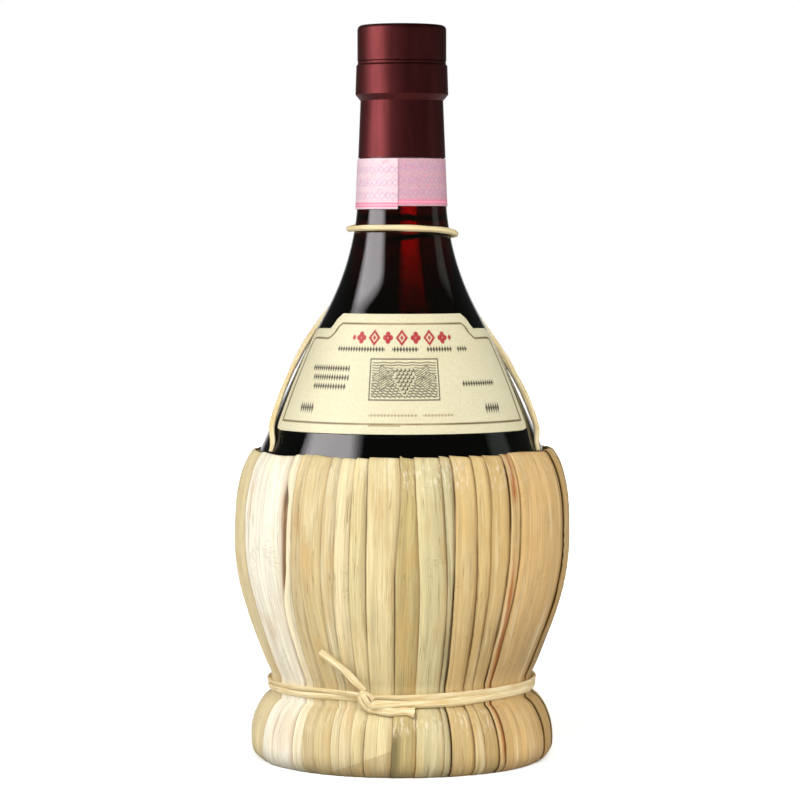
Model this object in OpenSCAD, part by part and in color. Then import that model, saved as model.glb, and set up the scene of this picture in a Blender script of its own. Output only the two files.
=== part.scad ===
// Straw-covered round-bottomed wine flask, standing in its own straw foot.
// Millimetres, +Z up, the front faces -Y and the origin is on the axis at the table.

/* [Flask] */
// Largest outside radius of the glass
flask_r = 52; // [49:0.5:55]
// Height of the widest ring of the glass above the table
wide_z = 72; // [68:0.5:78]
// Height of the glass bottom above the table
bottom_z = 4; // [3:0.25:6]
// Glass wall thickness
wall = 2; // [1.6:0.1:3]
// Radius of the round corner between the bottom and the belly
heel_r = 24; // [20:1:28]
// Radius of the belly curve below the widest ring
lower_r = 84; // [80:1:90]
// Radius of the belly curve above the widest ring
upper_r = 66; // [62:1:70]
// Slope at which the belly passes into the shoulder, in degrees
shoulder_in = 22.8; // [21.5:0.1:24]
// Slope at which the shoulder passes into the neck curve, in degrees
shoulder_out = 28; // [27:0.1:29.5]
// Radius of the hollow curve between the shoulder and the neck
neck_curve_r = 84; // [76:1:92]

/* [Neck and mouth] */
// Outside radius of the glass where the neck curve ends
neck_r = 14.3; // [13.8:0.1:14.6]
// Taper of the straight neck, in degrees from upright
neck_taper = 2.3; // [1.8:0.1:2.8]
// Length of the neck from the end of its curve to the mouth
neck_len = 54.5; // [52:0.5:60]
// Radius of the bore that holds the cork
bore_r = 9.25; // [8.8:0.05:9.8]
// Outside radius of the glass above the collar
finish_r = 13.95; // [13.7:0.05:14.3]
// Largest outside radius of the glass collar
collar_r = 14.7; // [14.5:0.05:15.5]
// Height of the glass collar
collar_h = 9; // [7:0.5:11]
// Distance from the mouth down to the top of the collar
collar_drop = 12.5; // [10:0.5:14]

/* [Cork and wine] */
// Length of the cork
cork_len = 44; // [38:1:46]
// Play between the cork and the bore, on the radius
cork_play = 0.05; // [0.02:0.01:0.1]
// Distance from the mouth down to the wine
ullage = 54.7; // [52:0.1:60]
// Distance from the cork's lower end to the end of the straight bore
bore_extra = 1; // [0.5:0.5:3]

/* [Capsule] */
// Thickness of the capsule's film
foil_t = 0.25; // [0.2:0.05:0.4]
// Play between the loose capsule top and the glass
cap_play = 0.15; // [0.1:0.05:0.3]
// Length of the whole capsule, measured down from the mouth
capsule_len = 42; // [38:0.5:46]
// Distance from the mouth down to the cut line
cut_drop = 11.1; // [8:0.1:12]
// Width of the cut line
cut_w = 0.3; // [0.2:0.1:0.6]
// Radius of the capsule's top edge
cap_edge_r = 1.5; // [0.8:0.1:2]
// Width of the rim that is shrunk over the top disc
cap_rim = 3; // [2:0.5:5]

/* [Paper] */
// Thickness of the papers
paper_t = 0.25; // [0.15:0.05:0.4]
// Glue line between paper or film and what it lies on
glue = 0.05; // [0.03:0.01:0.1]
// Height of the neck strip
strip_h = 15.2; // [12:0.2:18]
// Part of a turn where the neck strip lies double, in degrees
strip_lap = 110; // [40:5:150]
// How far the doubled end hangs below the rest of the strip
strip_drop = 1; // [0.5:0.1:2]
// Height of the front label
label_h = 37.1; // [30:0.1:40]
// Distance from the flask's widest ring up to the label
label_up = 35.3; // [31:0.1:38]
// Half angle that the label spans at its foot, in degrees
label_foot_az = 70; // [60:1:74]
// Half angle that the label spans at its shoulders, in degrees
label_top_az = 79; // [75:1:82]
// Half angle of the label's raised middle, in degrees
label_crest_az = 48; // [40:1:52]
// Height of the label's raised middle above its shoulders
label_crest_h = 4.8; // [3:0.1:7]

/* [Basket] */
// Thickness of a husk strip
husk_t = 0.4; // [0.3:0.05:0.5]
// Play between husk strips that overlap
husk_play = 0.2; // [0.15:0.01:0.25]
// Part of a turn that a strip is tucked under its neighbour, in degrees
husk_lap = 2; // [1.4:0.1:2.4]
// Thickness of the inner husk layer
lining_t = 0.35; // [0.25:0.05:0.45]
// Play on each side of the inner husk layer
lining_play = 0.2; // [0.12:0.02:0.2]
// Room between the glass and the outside of the basket at the widest ring
belly_pad = 2.7; // [2.6:0.1:4]
// Room between the glass and the outside of the basket at the waist
waist_pad = 5.2; // [4.8:0.1:7]
// Height of the tied waist above the table
waist_z = 24.5; // [22:0.1:26]
// How far the foot stands out from the waist
foot_flare = 6.4; // [5:0.1:9]
// Height of the foot's widest ring
foot_z = 7; // [5:0.5:9]
// How far the foot draws in from its widest ring to the table
foot_tuck = 3; // [1:0.25:4]
// Height of the cane hoop in the rim
hoop_z = 98.5; // [94:0.5:100]
// Radius of the fold of the strips over the hoop
fold_r = 2.4; // [2.2:0.05:3]
// Play between the hoop and both the glass and the strips
hoop_play = 0.2; // [0.1:0.02:0.3]
// Inner radius of the straw foot ring
ring_in_r = 20; // [16:0.5:24]
// Thickness of the bottom disc
disc_t = 1.5; // [1:0.25:2]
// Play around the foot ring and the bottom disc
foot_play = 0.3; // [0.2:0.05:0.5]

/* [Cords] */
// Thickness of the carrying cord
cord_d = 2.4; // [1.8:0.1:2.8]
// Least room between the carrying cord and the glass
cord_play = 0.3; // [0.2:0.05:0.6]
// Thickness of the waist tie
tie_d = 1.8; // [1.4:0.1:2]
// Height between two turns of the waist tie
tie_pitch = 2.35; // [2.3:0.05:2.8]
// Number of turns of the waist tie
tie_turns = 2; // [1:1:2]
// Room between the tie and the straw
tie_play = 0.2; // [0.15:0.05:0.4]
// Place of the knot round the waist, in degrees from the front
knot_az = -14; // [-40:1:40]
// Thickness of the knot
knot_d = 3.2; // [2.6:0.1:4]
// Thickness of the tie's free ends
tail_d = 1.5; // [1.2:0.1:1.8]

/* [Hidden] */
$fn = 96;

// Angles of the front strips, from the left side round to the right side
FRONT_STRIPS = [24, 20, 5, 6, 8, 4, 5, 5, 12, 6, 10, 4, 8, 5, 7, 4, 28, 19];
STRIP_ANGLES = concat(FRONT_STRIPS, [for (i = [len(FRONT_STRIPS) - 1:-1:0]) FRONT_STRIPS[(i + 7) % 18]]);
STRIP_COUNT = len(STRIP_ANGLES);
function strip_name(i) = str("strip_", i < 9 ? "0" : "", i + 1);

GLASS = "#20301c";
WINE = "#4a0810";
CORK = "#b98d5b";
FOIL = "#4b1216";
PAPER = "#f2e8bf";
STRIP_PAPER = "#d9a3a0";
STRAW = "#e0c68f";
RAFFIA = "#d8bb80";

// Outline of the glass, moved outward by off: arcs from the bottom to the neck, then a taper
LOWER_SWEEP = asin((wide_z - bottom_z - heel_r) / (lower_r - heel_r));
UPPER_END = [flask_r - upper_r * (1 - cos(shoulder_in)), wide_z + upper_r * sin(shoulder_in)];
NECK_SWEEP_R = neck_curve_r * (cos(neck_taper) - cos(shoulder_out));
SHOULDER_R = (UPPER_END.x - neck_r - NECK_SWEEP_R) / (cos(shoulder_in) - cos(shoulder_out));
SHOULDER_C = UPPER_END - SHOULDER_R * [cos(shoulder_in), sin(shoulder_in)];
SHOULDER_END = SHOULDER_C + SHOULDER_R * [cos(shoulder_out), sin(shoulder_out)];
NECK_C = SHOULDER_END + neck_curve_r * [cos(shoulder_out), sin(shoulder_out)];
NECK_END_Z = NECK_C.y - neck_curve_r * sin(neck_taper);
LOWER_C = [flask_r - lower_r, wide_z];
UPPER_C = [flask_r - upper_r, wide_z];
HEEL_C = LOWER_C + (lower_r - heel_r) * [cos(LOWER_SWEEP), -sin(LOWER_SWEEP)];

MOUTH_Z = NECK_END_Z + neck_len;
COLLAR_TOP = MOUTH_Z - collar_drop;
COLLAR_FOOT = COLLAR_TOP - collar_h;
COLLAR_CHAMFER = 2;
NECK_TOP = COLLAR_FOOT - COLLAR_CHAMFER;
COLLAR_SLOPE = 0.3;

function arc(c, r, a0, a1, steps) =
    [for (i = [0:steps]) let (a = a0 + (a1 - a0) * i / steps) c + r * [cos(a), sin(a)]];
function tail(points) = [for (i = [1:len(points) - 1]) points[i]];
function reversed(points) = [for (i = [len(points) - 1:-1:0]) points[i]];
function neck_line(z) = neck_r - tan(neck_taper) * (z - NECK_END_Z);

function outline(off) = concat(
    arc(HEEL_C, heel_r + off, -90, -LOWER_SWEEP, 7),
    tail(arc(LOWER_C, lower_r + off, -LOWER_SWEEP, 0, 10)),
    tail(arc(UPPER_C, upper_r + off, 0, shoulder_in, 6)),
    tail(arc(SHOULDER_C, SHOULDER_R + off, shoulder_in, shoulder_out, 4)),
    tail(arc(NECK_C, -neck_curve_r + off, shoulder_out, neck_taper, 8)),
    [[neck_line(NECK_TOP) + off, NECK_TOP]]);

function radius_at(points, z) = lookup(z, [for (p = points) [p.y, p.x]]);
function glass_r(z) = radius_at(outline(0), z);
function glass_z(r) = lookup(r, [for (p = outline(0)) if (p.y < wide_z) p]);

// The stretch of the outline, moved outward by off, between two heights
function stretch(off, z0, z1) =
    let (points = outline(off))
    concat([[radius_at(points, z0), z0]],
           [for (p = points) if (p.y > z0 + 0.2 && p.y < z1 - 0.2) p],
           [[radius_at(points, z1), z1]]);

module shell(off, thick, z0, z1)
    rotate_extrude() polygon(concat(stretch(off, z0, z1), reversed(stretch(off + thick, z0, z1))));

// Cork, wine and capsule heights, all measured from the mouth
CORK_TOP = MOUTH_Z - 0.1;
BORE_END = CORK_TOP - cork_len - bore_extra;
BORE_FLARE = 6;
WINE_LEVEL = MOUTH_Z - ullage;
FOIL_GAP = 0.05;
DISC_Z = MOUTH_Z + cap_play;
CAP_TOP = DISC_Z + 2 * foil_t;
CUT_Z = MOUTH_Z - cut_drop;
SKIRT_FOOT = MOUTH_Z - capsule_len;
LIP_R = 0.8;
MOUTH_EDGE = 1;

// Basket layers, from the glass outward
HUSK_STEP = husk_t + husk_play;
HUSK_DEPTH = husk_t + 1.7 * HUSK_STEP;
LAYERS = lining_play * 2 + lining_t + HUSK_DEPTH;
HOOP_R = fold_r - HUSK_DEPTH - hoop_play;
HOOP_C = [glass_r(hoop_z) + hoop_play + HOOP_R, hoop_z];
FOLD_START = 25;
FOLD_END = 85;
RIM_END = HOOP_C + fold_r * [cos(FOLD_START), sin(FOLD_START)];
RIM_POWER = 3.2;
FOOT_POWER = 0.6;
TUCK_POWER = 4;
BELLY_R = flask_r + belly_pad;
WAIST_R = glass_r(waist_z) + waist_pad;
FOOT_R = WAIST_R + foot_flare;
GROOVE = tie_turns * tie_pitch / 2 + tie_d / 2 + tie_play;
GROOVE_TOP = waist_z + GROOVE;
GROOVE_FOOT = waist_z - GROOVE;

// Outside radius of the basket at a height, before it folds over the hoop
function basket_form(z) =
    z < foot_z ? FOOT_R - foot_tuck * pow((foot_z - z) / foot_z, TUCK_POWER) :
    z < GROOVE_FOOT ?
        WAIST_R + foot_flare * pow(sin(90 * (GROOVE_FOOT - z) / (GROOVE_FOOT - foot_z)), FOOT_POWER) :
    z <= GROOVE_TOP ? WAIST_R :
    z < wide_z ? WAIST_R + (BELLY_R - WAIST_R) * sin(90 * (z - GROOVE_TOP) / (wide_z - GROOVE_TOP)) :
    BELLY_R - (BELLY_R - RIM_END.x) * pow((z - wide_z) / (RIM_END.y - wide_z), RIM_POWER);
function basket_r(z) = z < bottom_z ? basket_form(z) : max(basket_form(z), glass_r(z) + LAYERS);

STATIONS = concat(
    [0, foot_z * 0.35, foot_z],
    [for (i = [1:3]) foot_z + (GROOVE_FOOT - foot_z) * i / 3.2],
    [GROOVE_FOOT + 0.2, GROOVE_TOP],
    [for (i = [1:6]) GROOVE_TOP + (wide_z - GROOVE_TOP) * i / 6],
    [for (i = [1:4]) wide_z + (RIM_END.y - wide_z) * sqrt(i / 4.6)]);
HUSK_PATH = concat(
    [for (z = STATIONS) [basket_r(z), z]],
    arc(HOOP_C, fold_r, FOLD_START, FOLD_END, 2));
RINGS = len(HUSK_PATH);
function path_normal(k) =
    k == 0 ? [1, 0] :
    let (d = HUSK_PATH[min(k + 1, RINGS - 1)] - HUSK_PATH[k - 1])
    [d.y, -d.x] / norm(d);
HUSK_NORMALS = [for (k = [0:RINGS - 1]) path_normal(k)];

// A point at an angle from the front, a radius and a height
function around(az, r, z) = [r * sin(az), -r * cos(az), z];

// Edge i of the strips, which wanders a little on its way up
WANDER = 1.3;
WANDER_WAVE = 2.2;
WANDER_SHIFT = 35;
EDGES = [for (i = 0, a = -90; i <= STRIP_COUNT + 1; a = a + STRIP_ANGLES[i % STRIP_COUNT], i = i + 1) a];
function edge(i, z) = EDGES[i] + WANDER * sin(z * WANDER_WAVE + (i % STRIP_COUNT) * WANDER_SHIFT);

// How deep strip i lies under the outside of the basket, at a share of its own width
function husk_sink(share) = HUSK_STEP * share;
WIDE_FACET = 9;
function strip_columns(i, z) =
    let (a = edge(i, z), b = edge(i + 1, z), c = edge(i + 2, z),
         inner = ceil((STRIP_ANGLES[i] - husk_lap) / WIDE_FACET))
    concat(
        [[a, 0]],
        [for (j = [0:inner - 1])
            let (az = a + husk_lap + (b - a - husk_lap) * j / inner) [az, husk_sink((az - a) / (b - a))]],
        [[b, husk_sink(1)], [b + husk_lap, husk_sink(1 + husk_lap / (c - b))]]);

module husk_strip(i) {
    cols = len(strip_columns(i, 0));
    points = [for (k = [0:RINGS - 1])
        let (columns = strip_columns(i, HUSK_PATH[k].y))
        for (side = [0, husk_t]) for (c = columns)
            let (p = HUSK_PATH[k] - (c[1] + side) * HUSK_NORMALS[k]) around(c[0], p.x, max(p.y, 0))];
    function at(k, side, j) = (2 * k + side) * cols + j;
    walls = [for (k = [0:RINGS - 2]) for (j = [0:cols - 2])
        each [[at(k, 0, j), at(k + 1, 0, j), at(k + 1, 0, j + 1)],
              [at(k, 0, j), at(k + 1, 0, j + 1), at(k, 0, j + 1)],
              [at(k, 1, j), at(k + 1, 1, j + 1), at(k + 1, 1, j)],
              [at(k, 1, j), at(k, 1, j + 1), at(k + 1, 1, j + 1)]]];
    edges = [for (k = [0:RINGS - 2]) let (m = cols - 1)
        each [[at(k, 1, 0), at(k + 1, 1, 0), at(k + 1, 0, 0)],
              [at(k, 1, 0), at(k + 1, 0, 0), at(k, 0, 0)],
              [at(k, 0, m), at(k + 1, 0, m), at(k + 1, 1, m)],
              [at(k, 0, m), at(k + 1, 1, m), at(k, 1, m)]]];
    ends = [for (j = [0:cols - 2]) let (t = RINGS - 1)
        each [[at(0, 0, j), at(0, 0, j + 1), at(0, 1, j + 1)],
              [at(0, 0, j), at(0, 1, j + 1), at(0, 1, j)],
              [at(t, 0, j + 1), at(t, 0, j), at(t, 1, j)],
              [at(t, 0, j + 1), at(t, 1, j), at(t, 1, j + 1)]]];
    color(STRAW) polyhedron(points = points, faces = concat(walls, edges, ends));
}

// A tube along a list of points; its section keeps one side turned away from the axis
module tube(path, r, sides) {
    last = len(path) - 1;
    function heading(i) =
        let (d = path[min(i + 1, last)] - path[max(i - 1, 0)]) d / norm(d);
    function section(i) =
        let (t = heading(i), out = [path[i].x, path[i].y, 0], side = cross(t, out),
             v = side / norm(side), u = cross(v, t))
        [for (j = [0:sides - 1]) path[i] + r * (cos(360 * j / sides) * u + sin(360 * j / sides) * v)];
    walls = [for (i = [0:last - 1]) for (j = [0:sides - 1])
        let (a = i * sides, n = (j + 1) % sides)
        each [[a + j, a + sides + j, a + sides + n], [a + j, a + sides + n, a + n]]];
    ends = [for (j = [1:sides - 2]) let (b = last * sides)
        each [[0, j, j + 1], [b, b + j + 1, b + j]]];
    polyhedron(points = [for (i = [0:last]) each section(i)], faces = concat(walls, ends));
}

// Least distance between stretches of a cord that are at least skip points apart, less its thickness
function least_gap(path, d, skip) =
    min([for (i = [0:len(path) - 1 - skip]) for (j = [i + skip:len(path) - 1]) norm(path[i] - path[j])]) - d;

// Smooth value between four neighbouring route values
function spline(a, b, c, d, t) =
    b + 0.5 * t * (c - a + t * (2 * a - 5 * b + 4 * c - d + t * (3 * (b - c) + d - a)));

// Route of the carrying cord: angle from the front, height and extra room to the glass.
// It climbs from the rim on the left, goes once round the neck and down to the rim on the right.
CORD_ROUTE = [
    [-65, 101.6, 0], [-66, 104.5, 0], [-73, 109, 0], [-79, 117, 0], [-86, 127, 0.2], [-96, 138, 0.2],
    [-116, 150, 0], [-146, 161, 0], [-180, 166.5, 0], [-225, 168.8, 0], [-270, 169.8, 0], [-315, 171, 0],
    [-360, 171.6, 0], [-405, 171.6, 0], [-450, 171.3, 0], [-495, 172.4, 0], [-535, 174, 1],
    [-560, 172, 3.2], [-580, 165.5, 3.4], [-596, 156, 1.8], [-606, 146, 0.8], [-615, 137, 0.4],
    [-625, 127, 0.3], [-633, 117, 0.4], [-641, 108, 0.2], [-647, 104.5, 0], [-649, 101.6, 0]];
ROUTE_STEPS = 3;
function route_value(i, t, n) =
    let (last = len(CORD_ROUTE) - 1)
    spline(CORD_ROUTE[max(i - 1, 0)][n], CORD_ROUTE[i][n], CORD_ROUTE[i + 1][n],
           CORD_ROUTE[min(i + 2, last)][n], t);
function cord_point(i, t) =
    let (z = route_value(i, t, 1), room = max(route_value(i, t, 2), 0))
    around(route_value(i, t, 0), glass_r(z) + cord_play + cord_d / 2 + room, z);
CORD_PATH = concat(
    [for (i = [0:len(CORD_ROUTE) - 2]) for (s = [0:ROUTE_STEPS - 1]) cord_point(i, s / ROUTE_STEPS)],
    [cord_point(len(CORD_ROUTE) - 2, 1)]);

// Waist tie: a helix whose two ends lift off the straw to the sides of the knot
TIE_STEPS = 24;
TIE_R = (WAIST_R + tie_play + tie_d / 2) / cos(180 / TIE_STEPS);
KNOT_R = TIE_R + tie_d / 2 + tie_play + knot_d / 2;
KNOT_HALF = asin((knot_d / 2 + 0.15) / KNOT_R);
TIE_RINGS = TIE_STEPS * tie_turns;
LIFT_SHARE = 0.035;
function tie_lift(t) = let (e = min(t, 1 - t)) e > LIFT_SHARE ? 0 : pow(1 - e / LIFT_SHARE, 2);
function tie_point(t) =
    around(knot_az + KNOT_HALF + t * (360 * tie_turns - 2 * KNOT_HALF),
           TIE_R + (KNOT_R - TIE_R) * tie_lift(t),
           waist_z + tie_pitch * tie_turns * (t - 0.5) * (1 - 0.3 * tie_lift(t)));
TIE_PATH = concat(
    [for (s = [0, 0.006, 0.012, 0.018, 0.025]) tie_point(s)],
    [for (i = [1:TIE_RINGS - 1]) let (t = i / TIE_RINGS) if (t > 0.03 && t < 0.97) tie_point(t)],
    [for (s = [0.975, 0.982, 0.988, 0.994, 1]) tie_point(s)]);

// Free ends of the tie: angle from the knot, height above the waist and room to the straw
TAIL_UP = [[-1, 2.6, 1.9], [-4, 5, 1.6], [-8, 8.5, 1], [-13, 12, 0.8], [-17, 15, 1.2]];
TAIL_SIDE = [[0.6, -3.6, 3], [5, -4.4, 1.7], [10, -4.8, 0.9], [15, -4.6, 0.9], [19, -4.9, 1.3]];
function tail_point(p) =
    let (z = waist_z + p[1])
    around(knot_az + p[0], basket_r(z) + tie_play + tail_d / 2 + p[2], z);

echo(carry_cord_least_gap = least_gap(CORD_PATH, cord_d, 6));
echo(waist_tie_least_gap = least_gap(TIE_PATH, tie_d, 8));

module flask() color(GLASS)
    rotate_extrude() polygon(concat(
        [[0, bottom_z]],
        outline(0),
        [[collar_r, COLLAR_FOOT],
         [collar_r - COLLAR_SLOPE, COLLAR_TOP],
         [finish_r, COLLAR_TOP + 0.6]],
        arc([finish_r - MOUTH_EDGE, MOUTH_Z - MOUTH_EDGE], MOUTH_EDGE, 0, 90, 4),
        arc([bore_r + LIP_R, MOUTH_Z - LIP_R], LIP_R, 90, 180, 3),
        [[bore_r, BORE_END]],
        reversed(concat(
            [for (p = outline(-wall)) if (p.y < BORE_END - BORE_FLARE - 0.5) p],
            [[radius_at(outline(-wall), BORE_END - BORE_FLARE), BORE_END - BORE_FLARE]])),
        [[0, bottom_z + wall]]));

module wine() color(WINE)
    let (points = outline(-wall - FOIL_GAP))
    rotate_extrude() polygon(concat(
        [[0, bottom_z + wall + FOIL_GAP]],
        [for (p = points) if (p.y < WINE_LEVEL - 0.2) p],
        [[radius_at(points, WINE_LEVEL), WINE_LEVEL], [0, WINE_LEVEL]]));

module cork() color(CORK)
    translate([0, 0, CORK_TOP - cork_len]) cylinder(r = bore_r - cork_play, h = cork_len);

module capsule_top() color(FOIL)
    rotate_extrude() {
        inner = finish_r + cap_play;
        outer = inner + foil_t;
        polygon(concat(
            [[inner, CUT_Z + cut_w], [outer, CUT_Z + cut_w]],
            arc([outer - cap_edge_r, CAP_TOP - cap_edge_r], cap_edge_r, 0, 90, 6),
            [[outer - cap_rim, CAP_TOP], [outer - cap_rim, CAP_TOP - foil_t],
             [inner - cap_edge_r + foil_t, CAP_TOP - foil_t]],
            tail(reversed(arc([outer - cap_edge_r, CAP_TOP - cap_edge_r], cap_edge_r - foil_t, 0, 90, 6)))));
    }

module capsule_disc() color(FOIL)
    translate([0, 0, DISC_Z]) cylinder(r = finish_r + cap_play + foil_t - cap_edge_r, h = foil_t);

module capsule_skirt() color(FOIL)
    rotate_extrude() {
        inner = [
            [neck_line(SKIRT_FOOT) + FOIL_GAP, SKIRT_FOOT],
            [neck_line(NECK_TOP) + FOIL_GAP, NECK_TOP - 0.1],
            [collar_r + FOIL_GAP, COLLAR_FOOT - 0.1],
            [collar_r - COLLAR_SLOPE + FOIL_GAP, COLLAR_TOP + 0.1],
            [finish_r + FOIL_GAP, COLLAR_TOP + 0.7],
            [finish_r + FOIL_GAP, CUT_Z]];
        polygon(concat(inner, reversed([for (p = inner) p + [foil_t, 0]])));
    }

STRIP_TOP = SKIRT_FOOT - cut_w;
LAP_START = 160;
module neck_strip() color(STRIP_PAPER) {
    shell(glue, paper_t, STRIP_TOP - strip_h, STRIP_TOP);
    rotate([0, 0, LAP_START]) rotate_extrude(angle = strip_lap)
        polygon(concat(
            stretch(glue + 0.9 * paper_t, STRIP_TOP - strip_h - strip_drop, STRIP_TOP),
            reversed(stretch(glue + 2 * paper_t, STRIP_TOP - strip_h - strip_drop, STRIP_TOP))));
}

// Half outline of the label: angle from the front and height above the label's foot
LABEL_Z = wide_z + label_up;
LABEL_NOTCH = label_h - label_crest_h;
LABEL_HALF = concat(
    [[label_foot_az - 6, 0], [label_foot_az - 1.5, 0.5], [label_foot_az, 2.2]],
    [for (i = [1:4]) let (t = i / 4)
        [label_foot_az + (label_top_az - label_foot_az) * t, 2.2 + (LABEL_NOTCH - 4.6) * t]],
    [[label_top_az - 1, LABEL_NOTCH - 1.2], [label_top_az - 4.5, LABEL_NOTCH - 0.2],
     [label_top_az - 10, LABEL_NOTCH], [label_crest_az + 8, LABEL_NOTCH],
     [label_crest_az + 6.2, LABEL_NOTCH + 1], [label_crest_az + 4.5, label_h - 1.8],
     [label_crest_az, label_h]]);
function label_point(p, side) =
    let (z = LABEL_Z + p[1]) [side * (glass_r(z) + glue) * sin(p[0]), z];
LABEL_FLAT = concat(
    [for (p = LABEL_HALF) label_point(p, 1)],
    reversed([for (p = LABEL_HALF) label_point(p, -1)]));

module front_label() color(PAPER)
    intersection() {
        shell(glue, paper_t, LABEL_Z - 2, LABEL_Z + label_h + 2);
        rotate([90, 0, 0]) linear_extrude(flask_r + paper_t) polygon(LABEL_FLAT);
    }

module carry_cord() color(RAFFIA) tube(CORD_PATH, cord_d / 2, 8);

module rim_hoop() color(RAFFIA)
    rotate_extrude() translate(HOOP_C) circle(r = HOOP_R, $fn = 32);

LINING_TOP = hoop_z - HOOP_R - hoop_play;
LINING_FOOT = waist_z + 2;
module basket_lining() color(STRAW) shell(lining_play, lining_t, LINING_FOOT, LINING_TOP);

RING_TOP = GROOVE_FOOT - foot_play;
module base_ring() color(STRAW)
    rotate_extrude() {
        ring_z = glass_z(ring_in_r);
        outside = [for (i = [0:6])
            let (z = disc_t + foot_play + (RING_TOP - disc_t - foot_play) * i / 6)
            [basket_r(z) - HUSK_DEPTH - foot_play - husk_t, z]];
        polygon(concat(
            [[ring_in_r, disc_t + foot_play]],
            stretch(foot_play, ring_z, RING_TOP),
            reversed(outside)));
    }

module base_disc() color(STRAW)
    cylinder(r = FOOT_R - foot_tuck - HUSK_DEPTH - foot_play, h = disc_t);

module waist_tie() color(RAFFIA) tube(TIE_PATH, tie_d / 2, 6);

module tie_knot() color(RAFFIA)
    translate(around(knot_az, KNOT_R, waist_z)) rotate_extrude($fn = 32)
        polygon(concat(arc([0, -knot_d / 4], knot_d / 2, -90, 0, 6), arc([0, knot_d / 4], knot_d / 2, 0, 90, 6)));

module tie_tail_up() color(RAFFIA) tube([for (p = TAIL_UP) tail_point(p)], tail_d / 2, 6);

module tie_tail_side() color(RAFFIA) tube([for (p = TAIL_SIDE) tail_point(p)], tail_d / 2, 6);

flask();
wine();
cork();
capsule_top();
capsule_disc();
capsule_skirt();
neck_strip();
front_label();
carry_cord();
rim_hoop();
basket_lining();
base_ring();
base_disc();
waist_tie();
tie_knot();
tie_tail_up();
tie_tail_side();
for (i = [0:STRIP_COUNT - 1])
    husk_strip(i);
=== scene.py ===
"""Looks of a straw-covered wine flask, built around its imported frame."""
import math

import bpy
import numpy as np
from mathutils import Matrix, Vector

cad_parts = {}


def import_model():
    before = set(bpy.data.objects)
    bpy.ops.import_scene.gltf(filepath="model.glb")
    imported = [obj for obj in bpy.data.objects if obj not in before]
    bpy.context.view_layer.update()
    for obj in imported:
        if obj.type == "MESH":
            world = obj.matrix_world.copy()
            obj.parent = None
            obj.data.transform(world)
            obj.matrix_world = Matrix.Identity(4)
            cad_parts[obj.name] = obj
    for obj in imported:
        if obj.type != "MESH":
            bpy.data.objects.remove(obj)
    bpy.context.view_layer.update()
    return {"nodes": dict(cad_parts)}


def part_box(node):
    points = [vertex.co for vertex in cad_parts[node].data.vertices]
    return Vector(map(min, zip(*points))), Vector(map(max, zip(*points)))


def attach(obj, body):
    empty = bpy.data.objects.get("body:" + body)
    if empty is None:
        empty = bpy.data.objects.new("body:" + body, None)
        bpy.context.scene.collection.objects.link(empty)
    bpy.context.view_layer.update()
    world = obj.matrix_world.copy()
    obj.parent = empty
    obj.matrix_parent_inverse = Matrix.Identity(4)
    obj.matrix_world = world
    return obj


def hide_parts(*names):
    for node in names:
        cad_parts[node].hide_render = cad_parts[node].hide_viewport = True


MM = 0.001
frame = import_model()
bpy.context.scene.view_settings.view_transform = "Standard"

# Outline of the glass, in millimetres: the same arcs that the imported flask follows
FLASK_R = 52.0
WIDE_Z = 72.0
BOTTOM_Z = 4.0
WALL = 2.0
HEEL_R = 24.0
LOWER_R = 84.0
UPPER_R = 66.0
SHOULDER_IN = math.radians(22.8)
SHOULDER_OUT = math.radians(28)
NECK_CURVE_R = 84.0
NECK_R = 14.3
NECK_TAPER = math.radians(2.3)

# Basket, in millimetres and degrees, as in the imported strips
HUSK_T = 0.4
HUSK_PLAY = 0.2
HUSK_STEP = HUSK_T + HUSK_PLAY
HUSK_DEPTH = HUSK_T + 1.7 * HUSK_STEP
HUSK_LAP = 2.0
FOOT_Z = 7.0
FOOT_TUCK = 3.0
FOOT_FLARE = 6.4
BELLY_PAD = 2.7
WAIST_PAD = 5.2
WAIST_Z = 24.5
HOOP_Z = 98.5
HOOP_PLAY = 0.2
FOLD_R = 2.4
FOLD_START = math.radians(25)
FOLD_END = math.radians(85)
FRONT_STRIPS = [24, 20, 5, 6, 8, 4, 5, 5, 12, 6, 10, 4, 8, 5, 7, 4, 28, 19]
STRIP_ANGLES = FRONT_STRIPS + [FRONT_STRIPS[(i + 7) % 18] for i in range(17, -1, -1)]
STRIP_COUNT = len(STRIP_ANGLES)
WANDER = 1.3
WANDER_WAVE = 2.2
WANDER_SHIFT = 35

# Cords, in millimetres
CORD_D = 2.4
CORD_PLAY = 0.3
TIE_D = 1.8
TIE_PITCH = 2.35
TIE_TURNS = 2
TIE_PLAY = 0.2
KNOT_AZ = -14.0
KNOT_D = 3.2


def arc(centre, r, a0, a1, steps):
    """Points on an arc, angles in radians."""
    a = np.linspace(a0, a1, steps + 1)
    return np.column_stack([centre[0] + r * np.cos(a), centre[1] + r * np.sin(a)])


def ray(angle):
    return np.array([math.cos(angle), math.sin(angle)])


LOWER_SWEEP = math.asin((WIDE_Z - BOTTOM_Z - HEEL_R) / (LOWER_R - HEEL_R))
LOWER_C = np.array([FLASK_R - LOWER_R, WIDE_Z])
UPPER_C = np.array([FLASK_R - UPPER_R, WIDE_Z])
HEEL_C = LOWER_C + (LOWER_R - HEEL_R) * ray(-LOWER_SWEEP)
UPPER_END = UPPER_C + UPPER_R * ray(SHOULDER_IN)
SHOULDER_R = ((UPPER_END[0] - NECK_R - NECK_CURVE_R * (math.cos(NECK_TAPER) - math.cos(SHOULDER_OUT)))
              / (math.cos(SHOULDER_IN) - math.cos(SHOULDER_OUT)))
SHOULDER_C = UPPER_END - SHOULDER_R * ray(SHOULDER_IN)
NECK_C = SHOULDER_C + (SHOULDER_R + NECK_CURVE_R) * ray(SHOULDER_OUT)
NECK_END_Z = NECK_C[1] - NECK_CURVE_R * math.sin(NECK_TAPER)
MOUTH_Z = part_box("flask")[1].z / MM
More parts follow.
